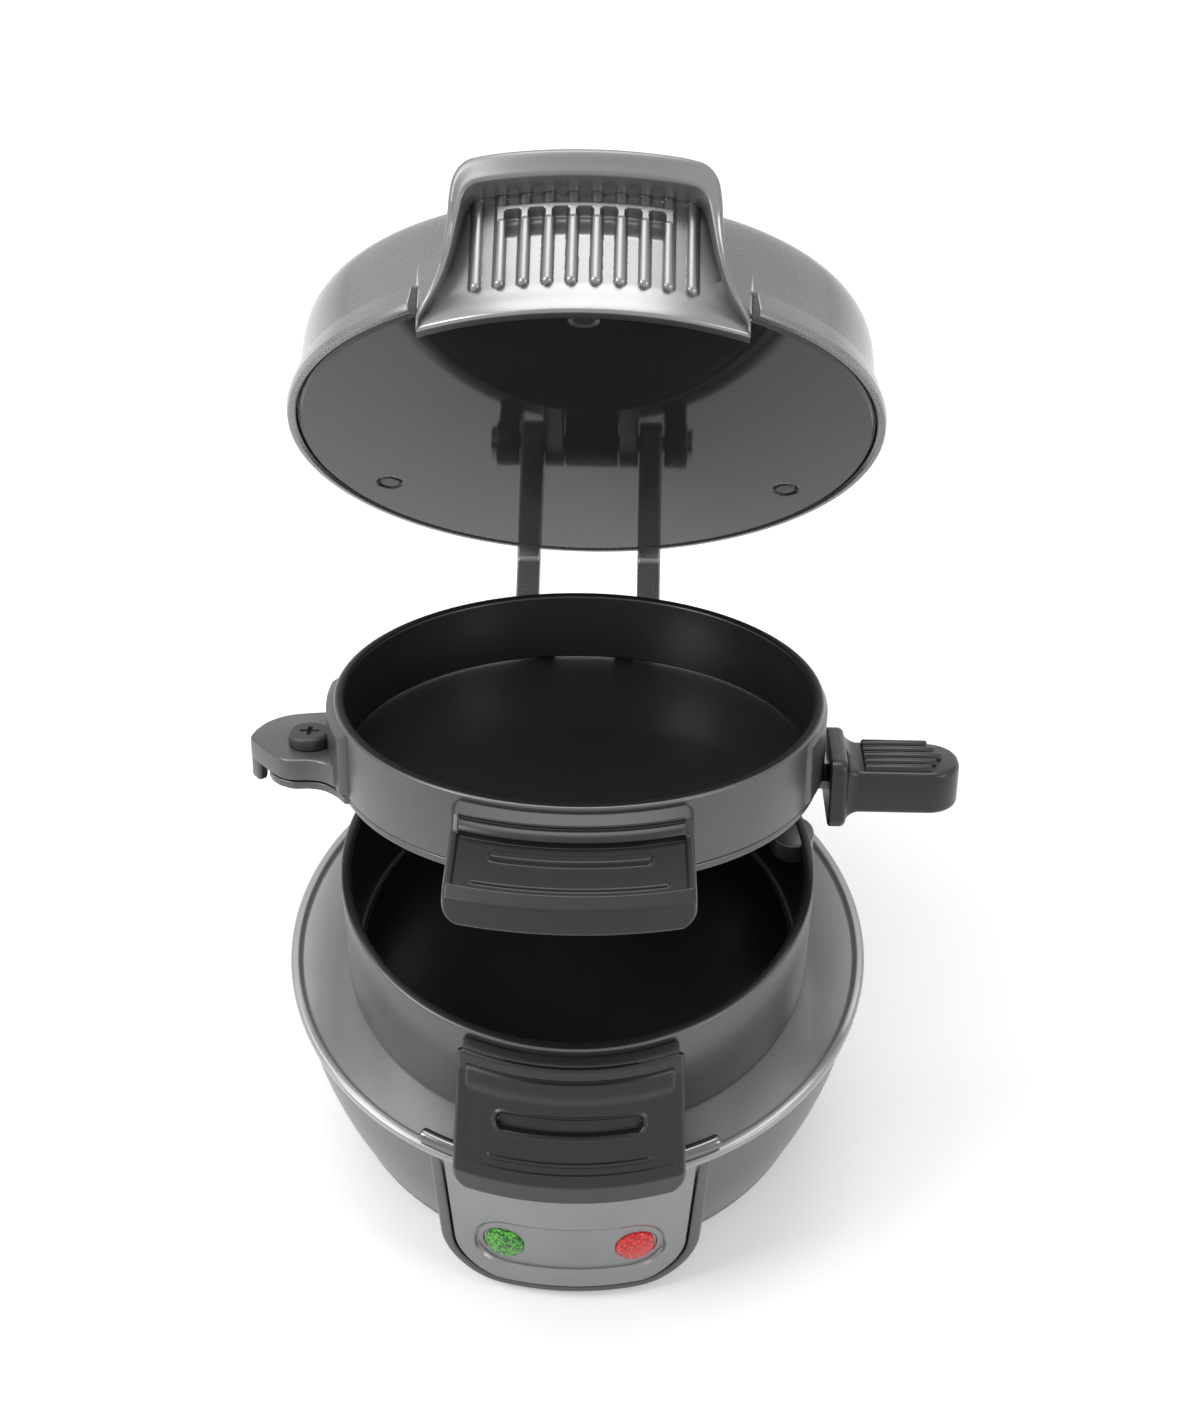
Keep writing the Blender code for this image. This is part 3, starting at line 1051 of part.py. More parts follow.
def make_pivot(upper):
    """Shoulder screw through the ear and the plate, with the flanged nut that holds the plate up."""
    under_head = UPPER_RING_BOTTOM + EAR_THICKNESS + GAP
    head_top = under_head + PIVOT_HEAD_HEIGHT
    nut_top = PLATE_BOTTOM - GAP
    tip = nut_top - NUT_HEIGHT - GAP
    profile = [(0, head_top), (PIVOT_HEAD_RADIUS - PIVOT_HEAD_ROUND, head_top),
               (PIVOT_HEAD_RADIUS, head_top - PIVOT_HEAD_ROUND), (PIVOT_HEAD_RADIUS, under_head),
               (PIVOT_RADIUS, under_head), (PIVOT_RADIUS, tip), (0, tip)]
    centre = (PIVOT.x, PIVOT.y, 0)
    screw = piece(turned("pivot_screw", profile, SMALL_STEPS, centre), upper, steel)
    half = CROSS_LENGTH / 2
    thin = CROSS_WIDTH / 2
    for name, across, along in (("cross_a", half, thin), ("cross_b", thin, half)):
        cut(screw, box(name, (PIVOT.x - across, PIVOT.y - along, head_top - CROSS_DEPTH),
                       (PIVOT.x + across, PIVOT.y + along, head_top + OVERRUN)))
    bore = PIVOT_RADIUS + GAP
    profile = [(NUT_RADIUS, nut_top), (NUT_RADIUS, nut_top - NUT_HEIGHT), (bore, nut_top - NUT_HEIGHT),
               (bore, nut_top)]
    piece(turned("pivot_nut", profile, SMALL_STEPS, centre), upper, steel)


def make_upper_handle(upper):
    """Shelf-shaped handle of the upper ring, high enough for the plate to swing under it."""
    top = UPPER_RING_TOP - UPPER_HANDLE_BELOW_RIM
    near = RING_OUTER + GAP
    neck = near + UPPER_HANDLE_NECK
    crease = (RING_OUTER + UPPER_HANDLE_CREASE_OUT, top - UPPER_HANDLE_CREASE_DROP)
    reach = RING_OUTER + UPPER_HANDLE_REACH
    edge_z = crease[1] - UPPER_HANDLE_SHELF_DROP
    edge = reach - UPPER_HANDLE_CHAMFER
    bottom = UPPER_RING_BOTTOM
    profile = [
        (near, top), (neck, top - UPPER_HANDLE_LIP_DROP), crease, (edge, edge_z),
        (reach, edge_z - UPPER_HANDLE_CHAMFER_DROP), (reach, bottom), (reach - HANDLE_WALL, bottom),
        (reach - HANDLE_WALL, edge_z - HANDLE_WALL), (neck + HANDLE_WALL, crease[1] - HANDLE_WALL),
        (neck, crease[1] - HANDLE_WALL * 2), (neck, bottom), (near, bottom)]
    handle = piece(turned("upper_handle", profile), upper, charcoal_plastic)
    keep_inside(handle, handle_limits("upper_handle_limits", UPPER_HANDLE_TOP_HALF,
                                      UPPER_HANDLE_BOTTOM_HALF, top + GAP, edge_z, bottom - GAP))
    bar_radius = (crease[0] + edge) / 2
    bar_z = (crease[1] + edge_z) / 2 - UPPER_BAR_RADIUS + UPPER_BAR_PROUD
    ring_points = arc((bar_radius, bar_z), UPPER_BAR_RADIUS, (135, -180), CORNER_PIECES * 2 - 1)
    bar = turned("upper_bar", [tuple(point) for point in ring_points])
    join(handle, bar)
    keep_inside(bar, box("bar_span", (-UPPER_BAR_HALF, -LID_RADIUS * 2, bottom),
                         (UPPER_BAR_HALF, 0, LID_TOP)))
    seat, length = add_handle_boss(handle, UPPER_RING_BOTTOM + UPPER_TANG_RISE, UPPER_TANG_LENGTH,
                                   UPPER_HANDLE_NECK)
    piece(screw_at("upper_handle_screw", seat, length), upper, steel)


def make_cooking_plate(plate):
    """Thin plate between the rings, with the lug on its pivot and the tab for its handle."""
    radius = RING_OUTER - PLATE_SHY
    disc = piece(rod("cooking_plate", radius, (0, 0, PLATE_BOTTOM), (0, 0, PLATE_TOP), RING_STEPS),
                 plate, nonstick)
    join(disc, rod("plate_lug", PLATE_LUG_RADIUS, (PIVOT.x, PIVOT.y, PLATE_BOTTOM),
                   (PIVOT.x, PIVOT.y, PLATE_TOP), SMALL_STEPS * 2))
    middle = -PLATE_HANDLE_FORWARD
    tab_end = plate_tab_end()
    join(disc, box("plate_tab", (RING_RADIUS - PLATE_TAB_HALF, middle - PLATE_TAB_HALF, PLATE_BOTTOM),
                   (tab_end, middle + PLATE_TAB_HALF, PLATE_TOP)))
    cut(disc, rod("plate_pivot_hole", PIVOT_RADIUS + GAP, (PIVOT.x, PIVOT.y, PLATE_BOTTOM - OVERRUN),
                  (PIVOT.x, PIVOT.y, PLATE_TOP + OVERRUN)))
    screw_x = plate_screw_x()
    cut(disc, rod("tab_hole", SCREW_RADIUS + GAP, (screw_x, middle, PLATE_BOTTOM - OVERRUN),
                  (screw_x, middle, PLATE_TOP + OVERRUN)))


def plate_tab_end():
    """The plate's tab reaches this far into its handle."""
    return RING_OUTER + FLANGE_STANDOFF + PLATE_TAB_LENGTH


def plate_screw_x():
    """The plate handle's screw stands past the middle of the tab."""
    return plate_tab_end() - PLATE_TAB_HALF


def make_plate_handle(plate):
    """Flange and grip at the right, pocketed for the plate's tab and screwed from below."""
    inner = RING_OUTER + FLANGE_STANDOFF
    outer = inner + FLANGE_THICKNESS
    middle = -PLATE_HANDLE_FORWARD
    handle = piece(box("plate_handle", (inner, middle - FLANGE_HALF_WIDTH, PLATE_MIDDLE - FLANGE_HALF_HEIGHT),
                       (outer, middle + FLANGE_HALF_WIDTH, PLATE_MIDDLE + FLANGE_HALF_HEIGHT)),
                   plate, charcoal_plastic)
    soften(handle, FLANGE_THICKNESS / 3, 3)
    low = PLATE_MIDDLE - GRIP_HALF_HEIGHT
    high = PLATE_MIDDLE + GRIP_HALF_HEIGHT
    root = inner + FLANGE_THICKNESS / 2
    end = outer + GRIP_LENGTH
    near = middle - GRIP_HALF_WIDTH
    far = middle + GRIP_HALF_WIDTH
    plan = rounded([(root, near), (end, near), (end, far), (root, far)], [0, GRIP_END_RADIUS, GRIP_END_RADIUS, 0],
                   CORNER_PIECES * 2)
    join(handle, soften(outline_solid("grip", plan, low, high, "Z"), GRIP_ROUND))
    for index in range(GRIP_RIBS):
        step = index - (GRIP_RIBS - 1) / 2
        x = outer + GRIP_RIB_START
        y = middle + step * GRIP_RIB_PITCH
        z = high - GRIP_RIB_RADIUS / 4
        length = GRIP_RIB_LENGTH - abs(step) * GRIP_RIB_STAGGER
        join(handle, rod("grip_rib", GRIP_RIB_RADIUS, (x, y, z), (x + length, y, z), SMALL_STEPS // 2))
    cut(handle, box("tab_pocket", (inner - OVERRUN, middle - PLATE_TAB_HALF - GAP, PLATE_BOTTOM - GAP),
                    (plate_tab_end() + GAP, middle + PLATE_TAB_HALF + GAP, PLATE_TOP + GAP)))
    screw_x = plate_screw_x()
    seat_z = low + SCREW_HEAD_HEIGHT + GAP
    hole_top = high - HANDLE_WALL / 2
    cut(handle, rod("plate_screw_hole", SCREW_RADIUS + GAP, (screw_x, middle, low - OVERRUN),
                    (screw_x, middle, hole_top)))
    cut(handle, rod("plate_screw_seat", SCREW_HEAD_RADIUS + GAP, (screw_x, middle, low - OVERRUN),
                    (screw_x, middle, seat_z)))
    piece(screw_at("plate_handle_screw", (screw_x, middle, seat_z - GAP), hole_top - seat_z), plate, steel)


def dome(shrink, pieces_up):
    """Half-section of the dome from its pole down: a rounded square curve, moved in by the wall."""
    points = []
    for share in pieces_up:
        angle = math.radians(90) * share
        across = max(math.cos(angle), 0) ** (2 / DOME_POWER)
        up = math.sin(angle) ** (2 / DOME_POWER)
        if share == 1:
            across = 0
        points.append(((LID_RADIUS - shrink) * across, LID_BOTTOM + (LID_HEIGHT - shrink) * up))
    return points


def dome_core(name):
    """Solid a little inside the dome's outer skin, which trims what stands inside the lid."""
    points = dome(LID_WALL / 2, DOME_ANGLE_SHARES)
    edge = LID_RADIUS - LID_WALL / 2
    return turned(name, points + [(edge, LID_BOTTOM), (0, LID_BOTTOM)])


def make_lid_shell(lid):
    """Domed lid with its rim band, the bosses inside, the hinge arms and the gap for the handle."""
    band_top = LID_BOTTOM + LID_BAND_HEIGHT
    step = LID_BAND_RADIUS - LID_RADIUS
    rebate = LID_BAND_RADIUS - LID_LIP
    rebate_top = LID_BOTTOM + LID_REBATE
    profile = dome(0, DOME_ANGLE_SHARES)
    profile += [(LID_RADIUS, band_top), (LID_BAND_RADIUS, band_top - step),
                (LID_BAND_RADIUS, LID_BOTTOM + RING_EDGE), (LID_BAND_RADIUS - RING_EDGE, LID_BOTTOM),
                (rebate, LID_BOTTOM), (rebate, rebate_top), (LID_RADIUS - LID_WALL, rebate_top)]
    profile += dome(LID_WALL, DOME_ANGLE_SHARES)[::-1]
    shell = piece(turned("lid_shell", profile), lid, grey_plastic)

    lid_in, lid_out = hinge_layout()[2:4]
    for side in (-1, 1):
        join(shell, make_lid_arm(sided(side, lid_in, lid_out)))
    bore_for_pin(shell)

    gap_inner = LID_RADIUS - GAP
    gap_ring = turned("handle_gap", [
        (LID_BAND_RADIUS + OVERRUN, band_top + GAP), (LID_BAND_RADIUS + OVERRUN, LID_BOTTOM - OVERRUN),
        (gap_inner, LID_BOTTOM - OVERRUN), (gap_inner, band_top + GAP)])
    cut(shell, gap_ring)
    keep_inside(gap_ring, outline_solid("handle_gap_outline", hood_outline(GAP), -LID_RADIUS * 2, 0, "Y"))

    liner_top = LID_BOTTOM + LID_REBATE
    for spot in liner_screw_spots():
        boss = join(shell, rod("liner_boss", LINER_BOSS_RADIUS, spot + Vector((0, 0, liner_top)),
                               spot + Vector((0, 0, liner_top + LINER_BOSS_HEIGHT * 2))))
        keep_inside(boss, dome_core("liner_boss_core"))
        cut(shell, rod("liner_boss_hole", SCREW_RADIUS + GAP, spot + Vector((0, 0, liner_top - OVERRUN)),
                       spot + Vector((0, 0, liner_top + LINER_SCREW_LENGTH))))
    peg_z = LID_BOTTOM + LID_PEG_RISE
    for side in (-1, 1):
        x = side * LID_PEG_OUT
        cut(shell, rod("peg_hole", LID_PEG_RADIUS + GAP, (x, -LINER_RECESS, peg_z),
                       (x, -LID_RADIUS - OVERRUN, peg_z)))


def make_lid_arm(span):
    """One arm from the lid's back wall down to its knuckle."""
    root = LID_RADIUS - LID_WALL * 3 / 2 + GAP
    half = ARM_WIDTH / 2
    low = LID_BOTTOM + LID_REBATE + ARM_ROOT
    top = low + LID_ARM_RISE
    rise = math.sqrt(KNUCKLE_RADIUS ** 2 - half ** 2)
    lean = math.degrees(math.atan2(rise, half))
    points = [Vector((root, low)), Vector((root, top - ARM_CORNER)), Vector((HINGE_Y - half, top)),
              Vector((HINGE_Y + half, top - ARM_CORNER * 2))]
    points += arc((HINGE_Y, HINGE_Z), KNUCKLE_RADIUS, (lean, lean - 360 + (180 - 2 * lean)), CORNER_PIECES * 3)
    points.append(Vector((HINGE_Y - half, LID_BOTTOM - ARM_ROOT)))
    return outline_solid("lid_arm", points, span[0], span[1], "X")


def liner_screw_spots():
    """Three screws hold the liner, one of them at the front."""
    return [around(LINER_SCREW_CIRCLE, degrees, 0) for degrees in (0, 120, 240)]


def hood_outline(grow):
    """Front view of the lid handle's hood, flaring to its foot."""
    top = LID_TOP - HOOD_BELOW_TOP + grow
    waist = LID_BOTTOM + HOOD_WAIST_RISE
    foot = LID_BOTTOM - HOOD_FOOT_DROP - grow
    corners = [(-HOOD_TOP_HALF - grow, top), (-HOOD_WAIST_HALF - grow, waist), (-HOOD_FOOT_HALF - grow, foot),
               (HOOD_FOOT_HALF + grow, foot), (HOOD_WAIST_HALF + grow, waist), (HOOD_TOP_HALF + grow, top)]
    return rounded(corners, [HOOD_TOP_CORNER, HOOD_TOP_CORNER, HOOD_ROUND, HOOD_ROUND, HOOD_TOP_CORNER,
                             HOOD_TOP_CORNER], CORNER_PIECES)


def make_lid_handle(lid):
    """Hood that stands out over a ribbed face: fingers go under its roof to lift the lid."""
    top = LID_TOP - HOOD_BELOW_TOP
    foot = LID_BOTTOM - HOOD_FOOT_DROP
    reach = LID_RADIUS + HOOD_REACH
    foot_reach = LID_RADIUS + HOOD_FOOT_REACH
    back = [point for point in dome(-GAP, DOME_ANGLE_SHARES[::-1]) if point[0] > HOOD_BACK_RADIUS]
    profile = [(back[-1][0], top - HOOD_ROUND / 2), (back[-1][0] + HOOD_ROUND, top), (reach - HOOD_ROUND, top),
               (reach, top - HOOD_ROUND), (foot_reach, foot + HOOD_ROUND / 2), (foot_reach - HOOD_ROUND / 2, foot),
               (LID_RADIUS + GAP, foot)]
    profile += [(LID_RADIUS + GAP, LID_BOTTOM + LID_BAND_HEIGHT)] + back
    handle = piece(turned("lid_handle", profile), lid, silver_plastic)
    keep_inside(handle, outline_solid("hood_limits", hood_outline(0), -LID_RADIUS * 2, 0, "Y"))

    roof = top - HOOD_ROOF
    mouth = turned("hood_mouth", [(reach + OVERRUN, roof), (reach + OVERRUN, foot - OVERRUN),
                                  (FACE_RADIUS, foot - OVERRUN), (FACE_RADIUS, roof)])
    cut(handle, mouth)
    waist = LID_BOTTOM + MOUTH_WAIST_RISE
    low = foot - OVERRUN
    corners = [(-MOUTH_TOP_HALF, roof + GAP), (-MOUTH_WAIST_HALF, waist), (-MOUTH_FOOT_HALF, low),
               (MOUTH_FOOT_HALF, low), (MOUTH_WAIST_HALF, waist), (MOUTH_TOP_HALF, roof + GAP)]
    shape = rounded(corners, [MOUTH_TOP_CORNER, MOUTH_TOP_CORNER, 0, 0, MOUTH_TOP_CORNER, MOUTH_TOP_CORNER])
    keep_inside(mouth, outline_solid("mouth_outline", shape, -LID_RADIUS * 2, 0, "Y"))

    ledge_low = roof - LEDGE_HEIGHT
    ledge = turned("face_ledge", [
        (FACE_RADIUS + LEDGE_PROUD / 2, roof + GAP), (FACE_RADIUS + LEDGE_PROUD, roof - LEDGE_HEIGHT / 2),
        (FACE_RADIUS + LEDGE_PROUD / 2, ledge_low), (FACE_RADIUS - GAP, ledge_low), (FACE_RADIUS - GAP, roof + GAP)])
    join(handle, ledge)
    keep_inside(ledge, box("ledge_span", (-LEDGE_HALF, -LID_RADIUS * 2, foot), (LEDGE_HALF, 0, LID_TOP)))
    for index in range(HOOD_RIBS):
        x = (index - (HOOD_RIBS - 1) / 2) * HOOD_RIB_PITCH
        y = -math.sqrt(FACE_RADIUS ** 2 - x ** 2)
        join(handle, rod("face_rib", HOOD_RIB_RADIUS, (x, y, LID_BOTTOM + HOOD_RIB_LOW), (x, y, roof + GAP),
                         SMALL_STEPS // 2))
    peg_z = LID_BOTTOM + LID_PEG_RISE
    peg_end = LID_RADIUS - LID_PEG_BACK
    for number, side in enumerate((-1, 1), 1):
        x = side * LID_PEG_OUT
        join(handle, rod("peg", LID_PEG_RADIUS, (x, -peg_end, peg_z), (x, -LID_RADIUS, peg_z)))
        cut(handle, rod("peg_screw_hole", SCREW_RADIUS + GAP, (x, -peg_end + OVERRUN, peg_z),
                        (x, -peg_end - LID_SCREW_LENGTH, peg_z)))
        piece(screw_at("lid_handle_screw_%d" % number, (x, -peg_end + GAP, peg_z), LID_SCREW_LENGTH,
                       (math.radians(90), 0, 0), LID_SCREW_HEAD_RADIUS), lid, steel)


def make_lid_liner(lid):
    """Flat plate that closes the lid, its three sunk screws, and the heating plate and heater behind it."""
    low = LID_BOTTOM
    top = low + LID_REBATE - GAP
    collar = LINER_RECESS + LINER_SHEET
    profile = [
        (0, top), (LINER_RECESS, top), (LINER_RECESS, top + LINER_COLLAR), (collar, top + LINER_COLLAR),
        (collar, top), (LINER_RADIUS, top), (LINER_RADIUS, low + RING_EDGE), (LINER_RADIUS - RING_EDGE, low),
        (0, low)]
    liner = piece(turned("lid_liner", profile), lid, liner_grey)
    for number, spot in enumerate(liner_screw_spots(), 1):
        seat = spot + Vector((0, 0, low + SCREW_HEAD_HEIGHT))
        floor = seat + Vector((0, 0, GAP / 2))
        cut(liner, rod("liner_hole", SCREW_RADIUS + GAP, seat, seat + Vector((0, 0, OVERRUN))))
        cut(liner, rod("liner_sink", SCREW_HEAD_RADIUS + GAP, seat - Vector((0, 0, OVERRUN)), floor))
        piece(screw_at("liner_screw_%d" % number, seat, LINER_SCREW_LENGTH), lid, steel)

    heater_low = top + GAP
    heater_top = heater_low + TOP_HEATER_THICKNESS
    radius = LINER_RECESS - GAP
    profile = [(0, heater_top), (radius, heater_top), (radius, heater_low), (0, heater_low)]
    piece(turned("top_heating_plate", profile), lid, nonstick)
    piece(element("top_element", heater_top + GAP + ELEMENT_TUBE, 0), lid, steel)


def make_materials():
    """Finishes, with colours read as linear light."""
    finishes = {
        "grey_plastic": ((0.165, 0.165, 0.17), 0.38, 0.0),
        "silver_plastic": ((0.36, 0.36, 0.37), 0.34, 0.55),
        "charcoal_plastic": ((0.038, 0.038, 0.04), 0.48, 0.0),
        "black_plastic": ((0.012, 0.012, 0.013), 0.55, 0.0),
        "ring_metal": ((0.24, 0.24, 0.245), 0.42, 0.9),
        "nonstick": ((0.02, 0.02, 0.021), 0.5, 0.0),
        "liner_grey": ((0.09, 0.09, 0.095), 0.3, 0.4),
        "steel": ((0.5, 0.5, 0.5), 0.3, 1.0),
        "chrome": ((0.75, 0.75, 0.76), 0.1, 1.0),
        "rubber": ((0.015, 0.015, 0.015), 0.85, 0.0),
        "green_lens": ((0.02, 0.3, 0.06), 0.15, 0.0),
        "red_lens": ((0.5, 0.02, 0.02), 0.15, 0.0),
        "lamp_glass": ((0.7, 0.6, 0.4), 0.2, 0.0)}
    for name, (colour, roughness, metallic) in finishes.items():
        globals()[name] = new_material(name, colour, roughness, metallic)


def settle_on_origin(root):
    """Move the whole maker so that its own origin is the middle of its lowest face."""
    bpy.context.view_layer.update()
    graph = bpy.context.evaluated_depsgraph_get()
    low = Vector((math.inf, math.inf, math.inf))
    high = -low
    for obj in parts.objects:
        if obj.type != "MESH":
            continue
        shown = obj.evaluated_get(graph)
        for vertex in shown.data.vertices:
            spot = shown.matrix_world @ vertex.co
            low = Vector(map(min, low, spot))
            high = Vector(map(max, high, spot))
    root.location = Vector((-(low.x + high.x) / 2, -(low.y + high.y) / 2, -low.z))
    bpy.context.view_layer.update()
    print("size mm", [round(value / MM, 2) for value in high - low])


def report_joints(carriers):
    """Print where each joint's axis lies in the pose shown."""
    for carrier in carriers:
        where = carrier.matrix_world
        print(carrier.name, [round(value, 6) for value in where.translation],
              "up", [round(value, 6) for value in where.to_3x3() @ Vector((0, 0, 1))])


def main():
    """Build the whole maker."""
    make_materials()
    pot = new_carrier("sandwich_maker", (0, 0, 0))
    lower = new_carrier("lower_ring_axis", HINGE, pot)
    upper = new_carrier("upper_ring_axis", HINGE, lower, (math.radians(-UPPER_RING_OPEN), 0, 0))
    lid = new_carrier("lid_axis", HINGE, upper, (math.radians(UPPER_RING_OPEN - LID_OPEN), 0, 0))
    plate = new_carrier("plate_axis", PIVOT, upper)
    make_base_shell(pot)
    make_base_deck(pot)
    make_bottom_heater(pot)
    make_bottom_cover(pot)
    make_front_panel(pot)
    make_base_trim(pot)
    make_hinge_pin(pot)
    make_lower_ring(lower)
    make_lower_handle(lower)
    make_upper_ring(upper)
    make_pivot(upper)
    make_upper_handle(upper)
    make_cooking_plate(plate)
    make_plate_handle(plate)
    make_lid_shell(lid)
    make_lid_handle(lid)
    make_lid_liner(lid)
    settle_on_origin(pot)
    report_joints((pot, lower, upper, lid, plate))


clear_scene()
parts = new_collection("breakfast_sandwich_maker")
tools = new_collection("shaping_guides")
main()
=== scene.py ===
import math
import bmesh
import bpy
import numpy as np
from mathutils import Matrix, Vector


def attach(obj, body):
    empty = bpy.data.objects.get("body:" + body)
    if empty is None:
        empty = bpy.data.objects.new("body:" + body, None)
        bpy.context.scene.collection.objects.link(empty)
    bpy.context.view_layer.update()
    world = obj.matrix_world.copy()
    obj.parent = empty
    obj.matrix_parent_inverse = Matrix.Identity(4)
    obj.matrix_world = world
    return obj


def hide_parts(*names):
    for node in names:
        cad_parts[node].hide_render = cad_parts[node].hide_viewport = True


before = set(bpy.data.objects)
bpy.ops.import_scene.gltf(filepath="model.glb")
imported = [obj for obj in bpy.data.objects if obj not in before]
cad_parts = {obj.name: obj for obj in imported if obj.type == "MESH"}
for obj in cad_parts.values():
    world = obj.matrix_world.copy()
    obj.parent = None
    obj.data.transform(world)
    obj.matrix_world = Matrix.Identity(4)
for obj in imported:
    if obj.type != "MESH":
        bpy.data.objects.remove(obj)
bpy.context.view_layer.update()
scene = bpy.context.scene

# Shapes are worked out in millimetres on the closed pot's own axis, table at 0, handles towards -Y,
# and each is then turned back about the hinge pin to the pose shown.
pot = {
    "shift": (-6.579, -24.848, 0.0),
    "hingeY": 74.0,
    "hingeZ": 63.5,
    "open": {"base": 0.0, "lower_stage": 0.0, "upper_stage": 18.5, "plate": 18.5, "lid": 64.0},
}
level = {  # heights and radii that several pieces share
    "foot": 2.5, "baseTop": 46.9, "deckTop": 48.4,
    "lowerLow": 48.7, "lowerTop": 78.0, "plateLow": 78.3, "plateTop": 80.2,
    "upperLow": 80.5, "upperTop": 96.7, "lidLow": 97.0,
    "ringIn": 52.0, "ringOut": 54.4,
}


# Small tools for shapes
# Turns points about the hinge pin by the body's opening, then shifts them and takes them to metres
def opened(points, body):
    a = math.radians(pot["open"][body])
    y = points[:, 1] - pot["hingeY"]
    z = points[:, 2] - pot["hingeZ"]
    out = np.stack([points[:, 0],
                    pot["hingeY"] + y * math.cos(a) + z * math.sin(a),
                    pot["hingeZ"] - y * math.sin(a) + z * math.cos(a)], 1)
    return (out + np.array(pot["shift"])) * 0.001


# Angles of a whole turn without its last, doubled one
def fullTurn(steps):
    return np.linspace(0, 2 * math.pi, steps, endpoint=False)


# One quad per cell of a grid of points; a wrapped side runs on into the first line again
def gridOf(points, wrapRows=False, wrapCols=False, finish=0, capRows=False):
    rows, cols = points.shape[:2]
    i = np.arange(rows if wrapRows else rows - 1)[:, None]
    j = np.arange(cols if wrapCols else cols - 1)[None, :]
    i2 = (i + 1) % rows
    j2 = (j + 1) % cols
    quads = np.stack([i * cols + j, i * cols + j2, i2 * cols + j2, i2 * cols + j], -1).reshape(-1, 4)
    caps = []
    if capRows:
        caps = [list(range(cols))[::-1], [(rows - 1) * cols + k for k in range(cols)]]
    tone = np.broadcast_to(np.asarray(finish), (i.shape[0], j.shape[1])).reshape(-1)
    return {"points": points.reshape(-1, 3), "quads": quads, "caps": caps, "tone": tone}


# Rings of points from a shut middle outwards, with a cap on the last ring alone
def openTop(grid):
    rows, cols = grid.shape[:2]
    shape = gridOf(grid, wrapCols=True)
    shape["caps"] = [[(rows - 1) * cols + k for k in range(cols)]]
    return shape


# A polyline with each corner turned on its own radius; a radius of 0 keeps the corner
def softLine(corners, radii, steps=5, closed=False):
    corners = np.asarray(corners, float)
    if np.isscalar(radii):
        radii = [radii] * len(corners)
    out = []
    for k, radius in enumerate(radii):
        here = corners[k]
        if radius == 0 or (not closed and k in (0, len(corners) - 1)):
            out.append(here)
            continue
        before = corners[k - 1] - here
        after = corners[(k + 1) % len(corners)] - here
        before, after = before / np.linalg.norm(before), after / np.linalg.norm(after)
        half = math.acos(max(-1.0, min(1.0, float(before @ after)))) / 2
        if half > math.radians(89.5):
            out.append(here)
            continue
        centre = here + (before + after) / np.linalg.norm(before + after) * radius / math.sin(half)
        start = here + before * radius / math.tan(half) - centre
        end = here + after * radius / math.tan(half) - centre
        sweep = math.atan2(start[0] * end[1] - start[1] * end[0], float(start @ end))
        for a in np.linspace(0, sweep, steps + 1):
            out.append(centre + np.array([start[0] * math.cos(a) - start[1] * math.sin(a),
                                          start[0] * math.sin(a) + start[1] * math.cos(a)]))
    return np.array(out)


# The same line with its points at even steps of length
def evenly(line, count, closed=False):
    line = np.asarray(line, float)
    if closed:
        line = np.vstack([line, line[:1]])
    run = np.concatenate([[0], np.cumsum(np.linalg.norm(np.diff(line, axis=0), axis=1))])
    want = np.linspace(0, run[-1], count, endpoint=not closed)
    return np.stack([np.interp(want, run, line[:, k]) for k in range(line.shape[1])], 1)


# A smooth line through points: cubic pieces whose slope at a point is that of its two neighbours
def throughPoints(points, count):
    p = np.asarray(points, float)
    p = np.vstack([2 * p[0] - p[1], p, 2 * p[-1] - p[-2]])
    t = np.linspace(0, len(p) - 3, count)
    k = np.minimum(t.astype(int), len(p) - 4)
    f = (t - k)[:, None]
    a, b, c, d = p[k], p[k + 1], p[k + 2], p[k + 3]
    return 0.5 * (2 * b + (c - a) * f + (2 * a - 5 * b + 4 * c - d) * f ** 2 + (3 * b - a - 3 * c + d) * f ** 3)


# A profile of radius and height turned about an upright axis: x = r sin t, y = -r cos t
def spun(profile, steps=160, centre=(0, 0), toneBelow=None, closed=True):
    profile = np.asarray(profile, float)
    t = fullTurn(steps)
    grid = np.stack([centre[0] + profile[:, :1] * np.sin(t), centre[1] - profile[:, :1] * np.cos(t),
                     np.repeat(profile[:, 1:], steps, 1)], -1)
    tone = 0
    if toneBelow is not None:
        ends = np.vstack([profile, profile[:1]]) if closed else profile
        middle = (ends[1:, 0] + ends[:-1, 0]) / 2
        tone = (middle < toneBelow).astype(int)[:, None]
    return gridOf(grid, wrapRows=closed, wrapCols=True, finish=tone)


# Flat points and a height become space: facing Z, X or Y, or F, round the front at that radius
def faced(flat, height, facing):
    u, v = flat[..., 0], flat[..., 1]
    h = np.broadcast_to(height, u.shape)
    if facing == "Z":
        return np.stack([u, v, h], -1)
    if facing == "X":
        return np.stack([h, u, v], -1)
    if facing == "Y":
        return np.stack([u, h, v], -1)
    return np.stack([u, -np.sqrt(np.maximum(h ** 2 - u ** 2, 0)), v], -1)


# Unit normals of a closed flat line, pointing out of it
def outward(line):
    ahead = np.roll(line, -1, 0) - line
    back = line - np.roll(line, 1, 0)
    ahead = ahead / np.maximum(np.linalg.norm(ahead, axis=1, keepdims=True), 1e-9)
    back = back / np.maximum(np.linalg.norm(back, axis=1, keepdims=True), 1e-9)
    t = ahead + back
    t = t / np.maximum(np.linalg.norm(t, axis=1, keepdims=True), 1e-9)
    area = np.sum(line[:, 0] * np.roll(line[:, 1], -1) - np.roll(line[:, 0], -1) * line[:, 1])
    return np.stack([t[:, 1], -t[:, 0]], 1) * (1 if area > 0 else -1)


